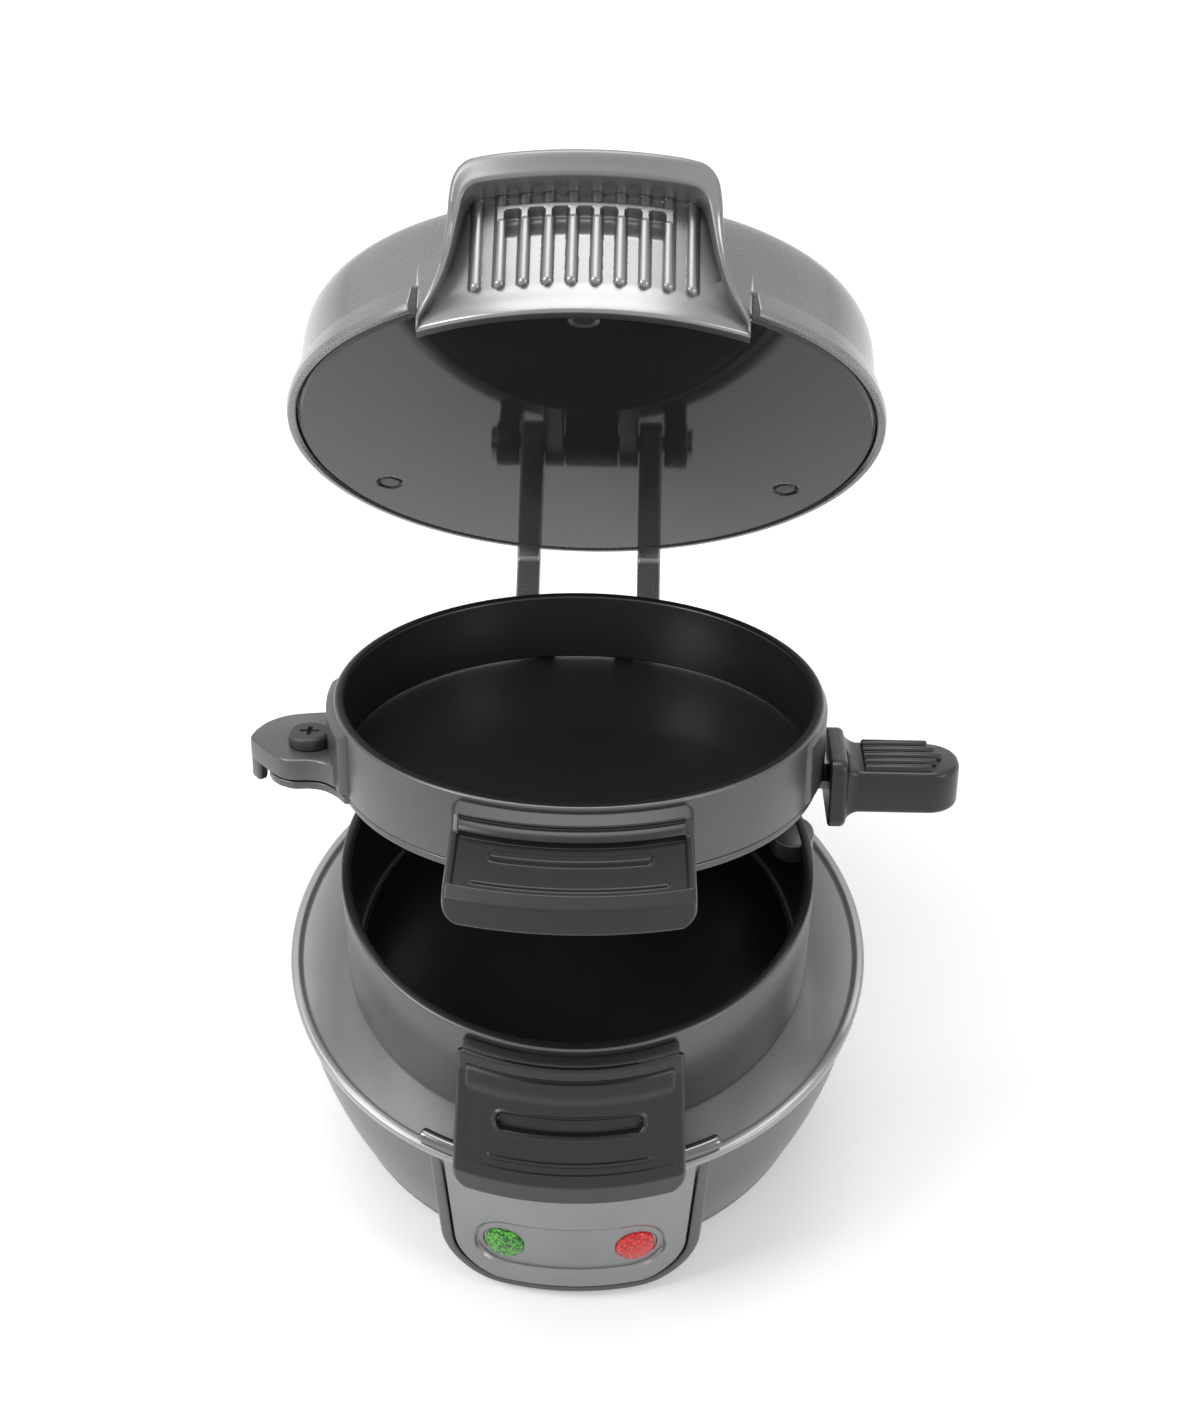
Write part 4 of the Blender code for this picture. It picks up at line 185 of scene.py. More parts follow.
# A flat outline carried from low to high with its edges turned on a quarter circle
def pillow(line, low, high, facing="Z", edge=0.5, steps=4):
    line = np.asarray(line, float)
    a = np.linspace(0, math.pi / 2, steps + 1)
    inset = np.concatenate([edge * (1 - np.sin(a)), edge * (1 - np.sin(a[::-1]))])
    rise = np.concatenate([low + edge * (1 - np.cos(a)), high - edge * (1 - np.cos(a[::-1]))])
    flat = line[None] - outward(line)[None] * inset[:, None, None]
    return gridOf(faced(flat, rise[:, None], facing), wrapCols=True, capRows=True)


# A plain block between two corners with rounded edges
def block(low, high, edge=0.5, facing="Z"):
    (x0, y0, z0), (x1, y1, z1) = low, high
    flat = {"Z": (x0, y0, x1, y1, z0, z1), "X": (y0, z0, y1, z1, x0, x1), "Y": (x0, z0, x1, z1, y0, y1)}[facing]
    corners = [(flat[0], flat[1]), (flat[2], flat[1]), (flat[2], flat[3]), (flat[0], flat[3])]
    return pillow(softLine(corners, edge, 3, closed=True), flat[4], flat[5], facing, edge * 0.7)


# A rod along X with its ends broken
def alongX(radius, low, high, y, z, edge=0.3, steps=40):
    t = fullTurn(steps)
    return pillow(np.stack([y + radius * np.cos(t), z + radius * np.sin(t)], 1), low, high, "X", edge, 2)


# Two grids of the same size, one the outside and one the inside, joined all round their border
def shelled(outer, inner):
    rows, cols = outer.shape[:2]
    skins = [gridOf(outer), gridOf(inner[::-1])]
    for a, b in ((outer[0], inner[0]), (inner[-1], outer[-1]),
                 (inner[:, 0], outer[:, 0]), (outer[:, -1], inner[:, -1])):
        skins.append(gridOf(np.stack([a, b])))
    return skins


# Signed distance to a rounded box, below 0 inside
def boxAway(x, z, cx, cz, hx, hz, r):
    dx = np.abs(x - cx) - (hx - r)
    dz = np.abs(z - cz) - (hz - r)
    return np.hypot(np.maximum(dx, 0), np.maximum(dz, 0)) + np.minimum(np.maximum(dx, dz), 0) - r


# 0 below low, 1 above high, smooth between
def eased(value, low, high):
    t = np.clip((value - low) / (high - low), 0, 1)
    return t * t * (3 - 2 * t)


# How far a rounded edge has dropped at that distance from the border
def turnedOver(distance, radius):
    d = np.clip(distance, 0, radius)
    return radius - np.sqrt(np.maximum(radius ** 2 - (radius - d) ** 2, 0))


# Puts shapes into one mesh in the pose shown, merges its seams and hands it to the frame
def makePiece(name, body, finish, shapes, replaces=(), sharp=32):
    flat = []
    for shape in shapes:
        flat.extend(shape if isinstance(shape, list) else [shape])
    points, faces, tones, start = [], [], [], 0
    for shape in flat:
        points.append(shape["points"])
        faces += (shape["quads"] + start).tolist()
        faces += [[k + start for k in cap] for cap in shape["caps"]]
        tones.append(shape["tone"])
        tones.append(np.zeros(len(shape["caps"]), int))
        start += len(shape["points"])
    mesh = bpy.data.meshes.new(name)
    mesh.from_pydata(opened(np.concatenate(points), body).tolist(), [], faces)
    finishes = finish if isinstance(finish, (list, tuple)) else [finish]
    for one in finishes:
        mesh.materials.append(one)
    mesh.polygons.foreach_set("material_index", np.minimum(np.concatenate(tones), len(finishes) - 1).astype(np.int32))
    work = bmesh.new()
    work.from_mesh(mesh)
    bmesh.ops.remove_doubles(work, verts=work.verts, dist=2e-6)
    bmesh.ops.dissolve_degenerate(work, edges=work.edges, dist=1e-7)
    bmesh.ops.recalc_face_normals(work, faces=work.faces)
    work.to_mesh(mesh)
    work.free()
    mesh.polygons.foreach_set("use_smooth", np.ones(len(mesh.polygons), bool))
    mesh.set_sharp_from_angle(angle=math.radians(sharp))
    piece = bpy.data.objects.new(name, mesh)
    scene.collection.objects.link(piece)
    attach(piece, body)
    if replaces:
        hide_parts(*replaces)
    print("made", name, len(mesh.polygons), "faces")
    return piece


# Finishes
def newFinish(name, colour, roughness, metallic=0.0, coat=0.0, coatRoughness=0.1, specular=0.5):
    made = bpy.data.materials.new(name)
    made.use_nodes = True
    shader = made.node_tree.nodes["Principled BSDF"]
    shader.inputs["Base Color"].default_value = (*colour, 1)
    shader.inputs["Roughness"].default_value = roughness
    shader.inputs["Metallic"].default_value = metallic
    shader.inputs["Coat Weight"].default_value = coat
    shader.inputs["Coat Roughness"].default_value = coatRoughness
    shader.inputs["Specular IOR Level"].default_value = specular
    return made, made.node_tree, shader


def addNode(tree, kind, **values):
    node = tree.nodes.new(kind)
    for key, value in values.items():
        if key in node.inputs:
            node.inputs[key].default_value = value
        else:
            setattr(node, key, value)
    return node


# Joins an output to the input of that name or number on another node of its tree
def wire(source, target, name):
    source.id_data.links.new(source, target.inputs[name])


# Noise in the object's own metres, stretched if it should run one way
def grainOf(tree, scale, detail=3.0, stretch=(1, 1, 1)):
    where = addNode(tree, "ShaderNodeTexCoord")
    mapping = addNode(tree, "ShaderNodeMapping")
    mapping.inputs["Scale"].default_value = stretch
    noise = addNode(tree, "ShaderNodeTexNoise", Scale=scale, Detail=detail)
    wire(where.outputs["Object"], mapping, "Vector")
    wire(mapping.outputs["Vector"], noise, "Vector")
    return noise.outputs["Fac"]


# Takes a 0 to 1 pattern to a span of values
def spread(tree, value, low, high):
    node = addNode(tree, "ShaderNodeMapRange")
    node.inputs["To Min"].default_value = low
    node.inputs["To Max"].default_value = high
    wire(value, node, "Value")
    return node.outputs["Result"]


# A pattern turned into two colours
def rampOf(tree, value, first, second, low, high):
    ramp = addNode(tree, "ShaderNodeValToRGB")
    for stop, place, colour in zip(ramp.color_ramp.elements, (low, high), (first, second)):
        stop.position = place
        stop.color = (*colour, 1)
    wire(value, ramp, "Fac")
    return ramp.outputs["Color"]


def bumped(tree, shader, height, strength, depth):
    lift = addNode(tree, "ShaderNodeBump", Strength=strength, Distance=depth)
    wire(height, lift, "Height")
    wire(lift.outputs["Normal"], shader, "Normal")


# Colour and roughness drift with a slow cloud, fine grain gives the moulded skin
def texture(tree, shader, colourA, colourB, roughA, roughB, grain, cloud, bump, depth):
    slow = grainOf(tree, cloud, 4.0)
    wire(rampOf(tree, slow, colourA, colourB, 0.3, 0.7), shader, "Base Color")
    fine = grainOf(tree, grain, 2.0)
    wire(spread(tree, fine, roughA, roughB), shader, "Roughness")
    bumped(tree, shader, fine, bump, depth)


def grey(value, warm=0.0):
    return (value * (1 + warm), value, value * (1 - warm))


def simpleFinish(name, shade, rough, grain, bump=0.15, depth=0.00003, drift=0.06, cloud=45, warm=-0.01, **more):
    made, tree, shader = newFinish(name, grey(shade, warm), rough, **more)
    texture(tree, shader, grey(shade * (1 - drift), warm), grey(shade * (1 + drift), warm),
            rough * 0.9, rough * 1.12, grain, cloud, bump, depth)
    return made


# Clear coloured moulding with small facets, with painted glints and a painted glow: each facet's middle is painted
# brighter and the colour is given out as light, though no lamp behind it is lit
def lensPaintedGlowFinish(name, deep, bright, glow):
    made, tree, shader = newFinish(name, bright, 0.2, coat=0.25, coatRoughness=0.05)
    where = addNode(tree, "ShaderNodeTexCoord")
    cells = addNode(tree, "ShaderNodeTexVoronoi", Scale=1500.0)
    cells.feature = "F1"
    wire(where.outputs["Object"], cells, "Vector")
    # Painted glints: the bright colour sits in each facet's middle, the deep one at its edges
    colour = rampOf(tree, cells.outputs["Distance"], bright, deep, 0.15, 0.75)
    wire(colour, shader, "Base Color")
    # Painted glow: the same colour is given out as light, though the lamp behind the lens is not lit
    wire(colour, shader, "Emission Color")
    shader.inputs["Emission Strength"].default_value = glow
    bumped(tree, shader, cells.outputs["Distance"], 0.6, 0.0002)
    return made


greySatin = simpleFinish("greySatin", 0.23, 0.27, 2600, 0.06, metallic=0.6, coat=0.35, coatRoughness=0.07)
# Painted shade: a darker copy of the grey satin for the bowl's sides
bowlShadedSatin = simpleFinish("bowlShadedSatin", 0.105, 0.34, 2600, 0.08, metallic=0.3, coat=0.15, coatRoughness=0.1)
# Partly the deck's own glossy trim and partly painted light: a lighter copy of the grey satin for its upward faces
deckLitSatin = simpleFinish("deckLitSatin", 0.37, 0.24, 2600, 0.04, metallic=0.35, coat=0.6, coatRoughness=0.05)
hoodSatin = simpleFinish("hoodSatin", 0.24, 0.33, 2600, 0.08, metallic=0.5)
silverPaint = simpleFinish("silverPaint", 0.27, 0.3, 5200, 0.12, metallic=0.85)
charcoalSatin = simpleFinish("charcoalSatin", 0.012, 0.3, 3000, 0.04, specular=0.5)
blackMatte = simpleFinish("blackMatte", 0.012, 0.5, 2400, 0.25)
ringGrey = simpleFinish("ringGrey", 0.12, 0.32, 3600, 0.08, metallic=0.6)
nonStick = simpleFinish("nonStick", 0.012, 0.34, 2800, 0.2, coat=0.2)
linerGloss = simpleFinish("linerGloss", 0.05, 0.045, 3000, 0.03, specular=0.45)
plainSteel = simpleFinish("plainSteel", 0.5, 0.3, 4000, 0.1, metallic=1.0)
screwDark = simpleFinish("screwDark", 0.03, 0.4, 4000, 0.12)
brightChrome = simpleFinish("brightChrome", 0.16, 0.14, 3000, 0.03, metallic=1.0)
footRubber = simpleFinish("footRubber", 0.015, 0.8, 1800, 0.3)
neonGlass = simpleFinish("neonGlass", 0.5, 0.2, 2000, 0.05)
greenLens = lensPaintedGlowFinish("greenLens", (0.002, 0.05, 0.006), (0.1, 0.6, 0.02), 0.3)
redLens = lensPaintedGlowFinish("redLens", (0.28, 0.001, 0.001), (0.9, 0.02, 0.01), 0.45)
print("finishes ready")


# Base
base = {"topRadius": 67.2, "footRadius": 57.0, "wall": 2.2, "fillet": 4.0, "coverRadius": 54.0,
        "coverTop": 5.1, "flange": 46.0, "flangeTop": 7.3, "frameRadius": 67.3, "frameTopHalf": 31.4,
        "frameFootHalf": 29.2, "frameCorner": 14.0, "belly": 1.6,
        "gland": 7.6, "glandHeight": 16.0}


# Outer wall from deck to foot with a slight belly, then the inner wall back up
def baseProfile():
    z = np.linspace(level["baseTop"], level["foot"] + base["fillet"], 24)
    share = (z - level["foot"]) / (level["baseTop"] - level["foot"])
    r = base["footRadius"] + (base["topRadius"] - base["footRadius"]) * share + base["belly"] * np.sin(share * math.pi)
    a = np.linspace(0, math.pi / 2, 8)[1:]
    turn = np.stack([r[-1] - base["fillet"] * (1 - np.cos(a)), level["foot"] + base["fillet"] * (1 - np.sin(a))], 1)
    outer = np.vstack([np.stack([r, z], 1), turn])
    inner = [(base["coverRadius"], level["foot"]), (base["coverRadius"], base["coverTop"]),
             (base["flange"], base["coverTop"]), (base["flange"], base["flangeTop"]),
             (base["footRadius"] - base["wall"], base["flangeTop"]),
             (base["topRadius"] - base["wall"], level["baseTop"])]
    return np.vstack([outer, inner])


def frontOutline(topHalf, footHalf, low, top, corner):
    return evenly(softLine([(-topHalf, top), (-footHalf, low), (footHalf, low), (topHalf, top)],
                           [0, corner, corner, 0], 10, closed=True), 160, closed=True)


def hingeCheek(low, high):
    line = softLine([(57.5, 26), (62.2, 43.6), (62.2, 49.4), (68.0, 54.4), (68, 63.5), (68, 69.5), (80, 69.5),
                     (80, 63.5), (80, 48.4), (74, 36.9)], [0, 0, 0, 0, 0, 5.9, 5.9, 0, 4, 4], 8, closed=True)
    return pillow(line, low, high, "X", 0.7)


# A band between two outlines round the front: out of the wall, over its face, and back in
def frameBand(outer, inner, back, front, innerBack, radius=0.7):
    a = np.linspace(0, math.pi / 2, 5)
    across = inner - outer
    toInner = across / np.linalg.norm(across, axis=1, keepdims=True)
    lines, depth = [outer], [np.full(len(outer), back)]
    for t in a:
        lines.append(outer + toInner * radius * (1 - math.cos(t)))
        depth.append(front - radius * (1 - math.sin(t)))
    for t in a[::-1]:
        lines.append(inner - toInner * radius * (1 - math.cos(t)))
        depth.append(front - radius * (1 - math.sin(t)))
    lines.append(inner)
    depth.append(np.full(len(outer), innerBack))
    flat = np.stack(lines)
    deep = np.stack([np.broadcast_to(d, (len(outer),)) for d in depth])
    return faced(flat, deep, "F")


outerFrame = frontOutline(base["frameTopHalf"], base["frameFootHalf"], level["foot"], level["baseTop"],
                          base["frameCorner"])
innerFrame = frontOutline(28.6, 26.4, level["foot"] + 1.6, level["baseTop"], 12.2)
bandGrid = frameBand(outerFrame, innerFrame, 54.0, base["frameRadius"], 62.5)
baseShapes = [
    spun(baseProfile(), 200),
    gridOf(bandGrid, wrapRows=True, wrapCols=True),
    hingeCheek(-25.3, -19.3), hingeCheek(19.3, 25.3),
]
t = fullTurn(60)
glandLine = np.stack([base["gland"] * np.cos(t), base["glandHeight"] + base["gland"] * np.sin(t)], 1)
baseShapes.append(pillow(glandLine, 55.0, 62.6, "Y", 0.8))
# The bowl takes the darker copy of the grey satin, as painted shade on its sides
makePiece("baseBowl", "base", bowlShadedSatin, baseShapes, ["base_shell"])

deckProfile = softLine([(68.2, 49.4), (68.2, 47.2), (62.2, 47.2), (62.2, 43.9), (60.6, 43.9), (60.6, 46.0),
                        (53.5, 46.0), (53.5, 42.1), (45.9, 42.1), (45.9, 44.3), (51.3, 44.3), (51.3, level["deckTop"]),
                        (65.6, level["deckTop"]), (66.2, 49.4)],
                       [0.7, 0.6, 0.3, 0.3, 0.3, 0.3, 0.3, 0.3, 0.3, 0.3, 0.3, 0.4, 0.7, 0.5], 5, closed=True)
# The deck takes the lighter copy of the grey satin, partly painted light on its upward faces
makePiece("deckRing", "base", deckLitSatin, [spun(deckProfile, 220)], ["base_deck"])

heaterProfile = softLine([(0, 49.3), (50.4, 49.3), (51, 48.7), (51, 44.6), (45.3, 44.6), (45.3, 43.5), (0, 43.5)],
                         [0, 0.8, 0.4, 0.3, 0.3, 0.3, 0], 4)
makePiece("bottomPlate", "base", nonStick, [spun(heaterProfile, 160, closed=False)],
          ["bottom_heating_plate"])


# Front panel and lenses
panel = {"topHalf": 28.3, "footHalf": 26.1, "low": 4.3, "top": 46.6, "corner": 12.0, "radius": 67.1, "thick": 2.0,
         "dishHalf": 22.2, "dishLow": 9.6, "dishHigh": 28.6, "dishDepth": 1.1, "dishCorner": 8.2,
         "slopeLow": 0.7, "slopeHigh": 2.4,
         "lensTurn": 13.1, "lensZ": 18.2, "lensRadius": 4.5, "lensTall": 1.12, "lensRise": 1.7}


# Half width of the panel at a height, with its two lower corners turned
def panelWidth(z):
    share = (z - panel["low"]) / (panel["top"] - panel["low"])
    side = panel["footHalf"] + (panel["topHalf"] - panel["footHalf"]) * share
    t = np.clip(z - panel["low"], 0, panel["corner"])
    return side - turnedOver(t, panel["corner"])


rows = panel["low"] + (panel["top"] - panel["low"]) * np.linspace(0, 1, 150) ** 1.25
cols = np.sin(np.linspace(-1, 1, 190) * math.pi / 2) * 0.55 + np.linspace(-1, 1, 190) * 0.45
zGrid = np.repeat(rows[:, None], len(cols), 1)
xGrid = panelWidth(zGrid) * cols[None]
rim = np.minimum(np.minimum((panelWidth(zGrid) - np.abs(xGrid)), (zGrid - panel["low"])), panel["top"] - zGrid)
dish = boxAway(xGrid, zGrid, 0, (panel["dishLow"] + panel["dishHigh"]) / 2, panel["dishHalf"],
               (panel["dishHigh"] - panel["dishLow"]) / 2, panel["dishCorner"])
slope = panel["slopeLow"] + (panel["slopeHigh"] - panel["slopeLow"]) * eased(zGrid, 14.0, 25.0)
lensX = panel["radius"] * math.sin(math.radians(panel["lensTurn"]))
lensZ = (zGrid - panel["lensZ"]) / panel["lensTall"]
lensGap = np.minimum(np.hypot(xGrid - lensX, lensZ), np.hypot(xGrid + lensX, lensZ))
relief = -turnedOver(rim, 0.6) - panel["dishDepth"] * (1 - eased(dish / slope, -1.0, 0.05))
relief -= 0.5 * (1 - eased(lensGap, panel["lensRadius"] + 0.05, panel["lensRadius"] + 0.35))
outerSkin = faced(np.stack([xGrid, zGrid], -1), panel["radius"] + relief, "F")
innerSkin = faced(np.stack([xGrid, zGrid], -1), panel["radius"] - panel["thick"] - 0.2, "F")
makePiece("silverPanel", "base", silverPaint, shelled(outerSkin, innerSkin), ["front_panel"])


# A shallow dome on a stem, pressed all over with small pyramids, facing out from the panel
def lensDome(side):
    turn = math.radians(side * panel["lensTurn"])
    out = np.array([math.sin(turn), -math.cos(turn), 0])
    across = np.array([math.cos(turn), math.sin(turn), 0])
    r = np.linspace(0, 1, 34)[:, None] * panel["lensRadius"]
    a = fullTurn(96)[None]
    u, v = r * np.cos(a), r * np.sin(a) * panel["lensTall"]
    pitch = 0.95
    facet = np.abs(np.mod(u / pitch, 1) - 0.5) + np.abs(np.mod(v / pitch + 0.25, 1) - 0.5)
    rise = panel["lensRise"] * np.sqrt(np.maximum(1 - (r / (panel["lensRadius"] + 0.01)) ** 2, 0)) - 0.15
    rise = rise + 0.22 * (0.5 - facet) * (1 - eased(r, 3.6, 4.3))
    stem = np.array([[panel["lensRadius"], -3.0], [panel["lensRadius"], -0.6]])
    face = panel["radius"] - panel["dishDepth"]
    centre = out * face + np.array([0, 0, panel["lensZ"]])
    up = np.array([0, 0, 1.0])
    grid = centre + across * u[..., None] + up * v[..., None] + out * rise[..., None]
    oval = across * np.cos(a)[..., None] + up * panel["lensTall"] * np.sin(a)[..., None]
    wall = centre + oval * stem[::-1, :1, None] + out * stem[::-1, 1:, None]
    return openTop(np.concatenate([grid, wall]))


makePiece("readyLens", "base", greenLens, [lensDome(-1)], ["ready_lens"], sharp=60)
makePiece("powerLens", "base", redLens, [lensDome(1)], ["power_lens"], sharp=60)

trim = {"radius": 1.6, "circle": 66.5, "degrees": 29.0, "height": 51.3}


# A round bar along an arc in front, its ends closed by domes
def tubeAround(radius, circle, degrees, height, steps=90, sides=28):
    t = np.radians(np.linspace(-degrees, degrees, steps))
    a = fullTurn(sides)
    e = np.radians(np.linspace(0, 90, 6))[:-1]
    size = np.concatenate([np.sin(e), np.ones(steps), np.sin(e)[::-1]])
    over = np.concatenate([-np.cos(e), np.zeros(steps), np.cos(e)[::-1]]) * radius / circle * 0.6
    turn = np.concatenate([np.full(len(e), t[0]), t, np.full(len(e), t[-1])]) + over
    r = circle + radius * size[:, None] * np.cos(a)
    grid = np.stack([r * np.sin(turn)[:, None], -r * np.cos(turn)[:, None],
                     height + radius * size[:, None] * np.sin(a)], -1)
    return gridOf(grid, wrapCols=True)


makePiece("restBar", "base", brightChrome,
          [tubeAround(trim["radius"], trim["circle"], trim["degrees"], trim["height"])], ["handle_rest_trim"])
print("base ready")


# Rings
def ringProfile(low, high):
    outside, inside = level["ringOut"], level["ringIn"]
    return softLine([(outside, high), (outside, low), (inside, low), (inside, high)], [0.6, 0.4, 0.4, 0.6], 4,
                    closed=True)


def hingeArm(low, high, zLow, zHigh, root=52.6):
    line = softLine([(root, zLow), (root, zHigh), (74, 69.5), (80, 69.5), (80, 63.5), (80, 57.5), (74, 57.5)],
                    [0, 0, 4.0, 5.9, 0, 5.9, 4.0], 7, closed=True)
    return pillow(line, low, high, "X", 0.6)


lowerShapes = [spun(ringProfile(level["lowerLow"], level["lowerTop"]), 200, toneBelow=54.0),
               hingeArm(-7, 7, 57.5, 71.5),
               block((-5, -62.4, 60.0), (5, -53.2, 62.0), 0.4)]
lug = np.radians(102.0)
lugCentre = (50.9 * math.sin(lug), -50.9 * math.cos(lug))
lugProfile = softLine([(0, 77.7), (5, 77.7), (5, 71.7), (0, 71.7)], [0, 0.6, 0.6, 0], 4)
lowerShapes.append(spun(lugProfile, 48, lugCentre, closed=False))
makePiece("lowerRing", "lower_stage", [ringGrey, nonStick], lowerShapes, ["lower_ring"])

upperShapes = [spun(ringProfile(level["upperLow"], level["upperTop"]), 200, toneBelow=54.0),
               hingeArm(7.3, 12.3, 81.7, 93.1), hingeArm(-12.3, -7.3, 81.7, 93.1),
               block((-5, -66.0, 85.5), (5, -53.2, 87.5), 0.4)]
ear = {"thick": 5.2, "prong": 4.8}


def arcPoints(centre, radius, start, end, count=20):
    a = np.radians(np.linspace(start, end, count))
    return np.stack([centre[0] + radius * np.cos(a), centre[1] + radius * np.sin(a)], 1)


# The ear: a broad back, a corner over the prong, then an S-shaped front edge back to the wall
earBack = [(-53.2, 8.6), (-57.2, 8.9), (-61.8, 8.3), (-66.6, 6.8), (-70.4, 3.6), (-72.6, -0.6)]
earFront = [(-72.9, -1.8), (-73.2, -3.4), (-72.9, -4.9), (-70.4, -8.5), (-67.4, -12.1), (-64.9, -14.5),
            (-62.3, -15.4), (-58.8, -15.3), (-55.5, -16.2), (-52.4, -18.9), (-50.0, -22.4)]
earLine = np.vstack([throughPoints(earBack, 40), throughPoints(earFront, 90), arcPoints((0, 0), 53.2, 204, 171, 12)])
earLine = evenly(earLine, 260, closed=True)
upperShapes.append(pillow(earLine, level["upperLow"], level["upperLow"] + ear["thick"], "Z", 0.6))
prong = softLine([(-73.0, -0.8), (-73.1, -4.6), (-71.3, -7.0), (-69.7, -5.6), (-69.9, -0.8)], 0.8, 5, closed=True)
upperShapes.append(pillow(prong, level["upperLow"] - ear["prong"], level["upperLow"] + 2.6, "Z", 0.9))


# A shallow pad on the ring's outside wall
def wallBoss(side, proud):
    a = np.radians(90 + np.linspace(-25, 8, 40) if side > 0 else -90 + np.linspace(-8, 25, 40))
    z = np.array([95.7, 94.7, 88.0, 82.0, 81.5, 80.5])
    r = np.array([54.3] + [level["ringOut"] + proud] * 4 + [54.3])
    fall = eased(np.linspace(0, 1, 40), 0, 0.04) * (1 - eased(np.linspace(0, 1, 40), 0.96, 1))
    radius = 54.2 + (r[:, None] - 54.2) * fall[None]
    outer = np.stack([radius * np.sin(a), -radius * np.cos(a), np.repeat(z[:, None], 40, 1)], -1)
    within = np.full_like(radius, 53.2)
    inner = np.stack([within * np.sin(a), -within * np.cos(a), np.repeat(z[:, None], 40, 1)], -1)
    return shelled(outer, inner)


upperShapes += [wallBoss(-1, 1.7), wallBoss(1, 0.7)]
makePiece("upperRing", "upper_stage", [ringGrey, nonStick], upperShapes, ["upper_ring"])
print("rings ready")


# Ring handles: a bent shelf whose face carries ridges, bars and grooves
# Face = profile + normal * relief(x, run); the width grows down the profile; the back is a plain offset
def bentHandle(profile, grip, relief, count, across=190, edge=0.9):
    line = evenly(profile, count)
    ahead = np.gradient(line, axis=0)
    ahead /= np.linalg.norm(ahead, axis=1, keepdims=True)
    normal = np.stack([-ahead[:, 1], ahead[:, 0]], 1)
    run = np.concatenate([[0], np.cumsum(np.linalg.norm(np.diff(line, axis=0), axis=1))])
    side = grip["halfTop"] + (grip["halfFoot"] - grip["halfTop"]) * run / run[-1]
    side = side - turnedOver(run[-1] - run, grip["corner"]) - turnedOver(run, grip["topCorner"])
    u = np.sin(np.linspace(-1, 1, across) * math.pi / 2) * 0.5 + np.linspace(-1, 1, across) * 0.5
    x = side[:, None] * u[None]
    s = np.repeat(run[:, None], across, 1)
    border = np.minimum(side[:, None] - np.abs(x), np.minimum(s, run[-1] - s))
    lift = relief(x, s, side[:, None] - np.abs(x)) - turnedOver(border, edge)
    outer = line[:, None, :] + normal[:, None, :] * lift[..., None]
    thin = np.clip(border * 1.2 + 1.0, 0, grip["wall"])
    inner = line[:, None, :] - normal[:, None, :] * thin[..., None]

    def place(flat):
        r = np.maximum(flat[..., 0], np.abs(x) + 0.01)
        return np.stack([x, -np.sqrt(r ** 2 - x ** 2), flat[..., 1]], -1)
    return shelled(place(outer), place(inner))


upperGrip = {"halfTop": 24.6, "halfFoot": 25.3, "corner": 4.0, "topCorner": 2.6, "wall": 2.6,
             "crease": 4.0, "rollEnd": 7.5, "panelEnd": 22.4, "border": 1.5,
             "barAt": 12.2, "barHalf": 16.1, "ridgeAt": 20.0, "ridgeHalf": 19.6}
upperFace = softLine([(54.8, 96.1), (58.4, 94.3), (60.4, 91.5), (75.2, 88.5), (77.4, 86.5), (77.4, 80.5)],
                     [0, 0.8, 0.8, 0.5, 0.6, 0], 5)


# A crease under the lip, a roll, then a field sunk inside its border with a bar and a thin ridge
def upperRelief(x, s, fromSide):
    g = upperGrip
    inside = eased(fromSide, g["border"], g["border"] + 0.5)
    crease = -0.55 * np.exp(-((s - g["crease"] - 0.25) / 0.4) ** 2) * inside
    roll = 0.85 * np.sin(np.clip((s - g["crease"] - 0.4) / (g["rollEnd"] - g["crease"] - 0.4), 0, 1) * 2.3) ** 0.8
    roll = roll * (1 - eased(s, g["rollEnd"] - 0.1, g["rollEnd"] + 0.35)) * inside
    field = -0.7 * eased(s, g["rollEnd"] - 0.2, g["rollEnd"] + 0.35) * inside
    field = field * (1 - eased(s, g["panelEnd"] - 0.4, g["panelEnd"]))
    bar = boxAway(x, s, 0, g["barAt"], g["barHalf"], 1.05, 0.6)
    ridge = boxAway(x, s, 0, g["ridgeAt"], g["ridgeHalf"], 0.42, 0.3)
    return crease + roll + field + 1.25 * (1 - eased(bar, -0.2, 0.45)) + 0.6 * (1 - eased(ridge, -0.1, 0.3))


# The curved pad that lies on the ring behind a handle's face
def neckPad(half, low, high, inner, outer):
    flat = softLine([(-half, low), (half, low), (half, high), (-half, high)], 1, 4, closed=True)
    return pillow(evenly(flat, 240, closed=True), inner, outer, "F", 0.4)


upperShapes = [bentHandle(upperFace, upperGrip, upperRelief, 260), block((-9.0, -68.5, 83.0), (9.0, -57.6, 88.9)),
               neckPad(22, 80.8, 93.6, 54.8, 58.0)]
makePiece("upperHandle", "upper_stage", charcoalSatin, upperShapes, ["upper_handle"])

lowerGrip = {"halfTop": 24.4, "halfFoot": 25.6, "corner": 4.5, "topCorner": 3.2, "wall": 2.6,
             "crease": 4.9, "rollEnd": 10.0, "slotAt": 15.4, "slotHalf": 15.9, "slotTall": 1.75, "border": 1.9,
             "ridgeAt": 23.8, "ridgeHalf": 17.6, "lineAt": 26.2}
lowerFace = softLine([(56.2, 75.6), (58.0, 75.4), (59.3, 70.9), (60.6, 69.2), (70.5, 54.8), (72.0, 52.2), (72.0, 45.8)],
                     [0, 0.8, 0.8, 1.2, 1.0, 1.0, 0], 5)


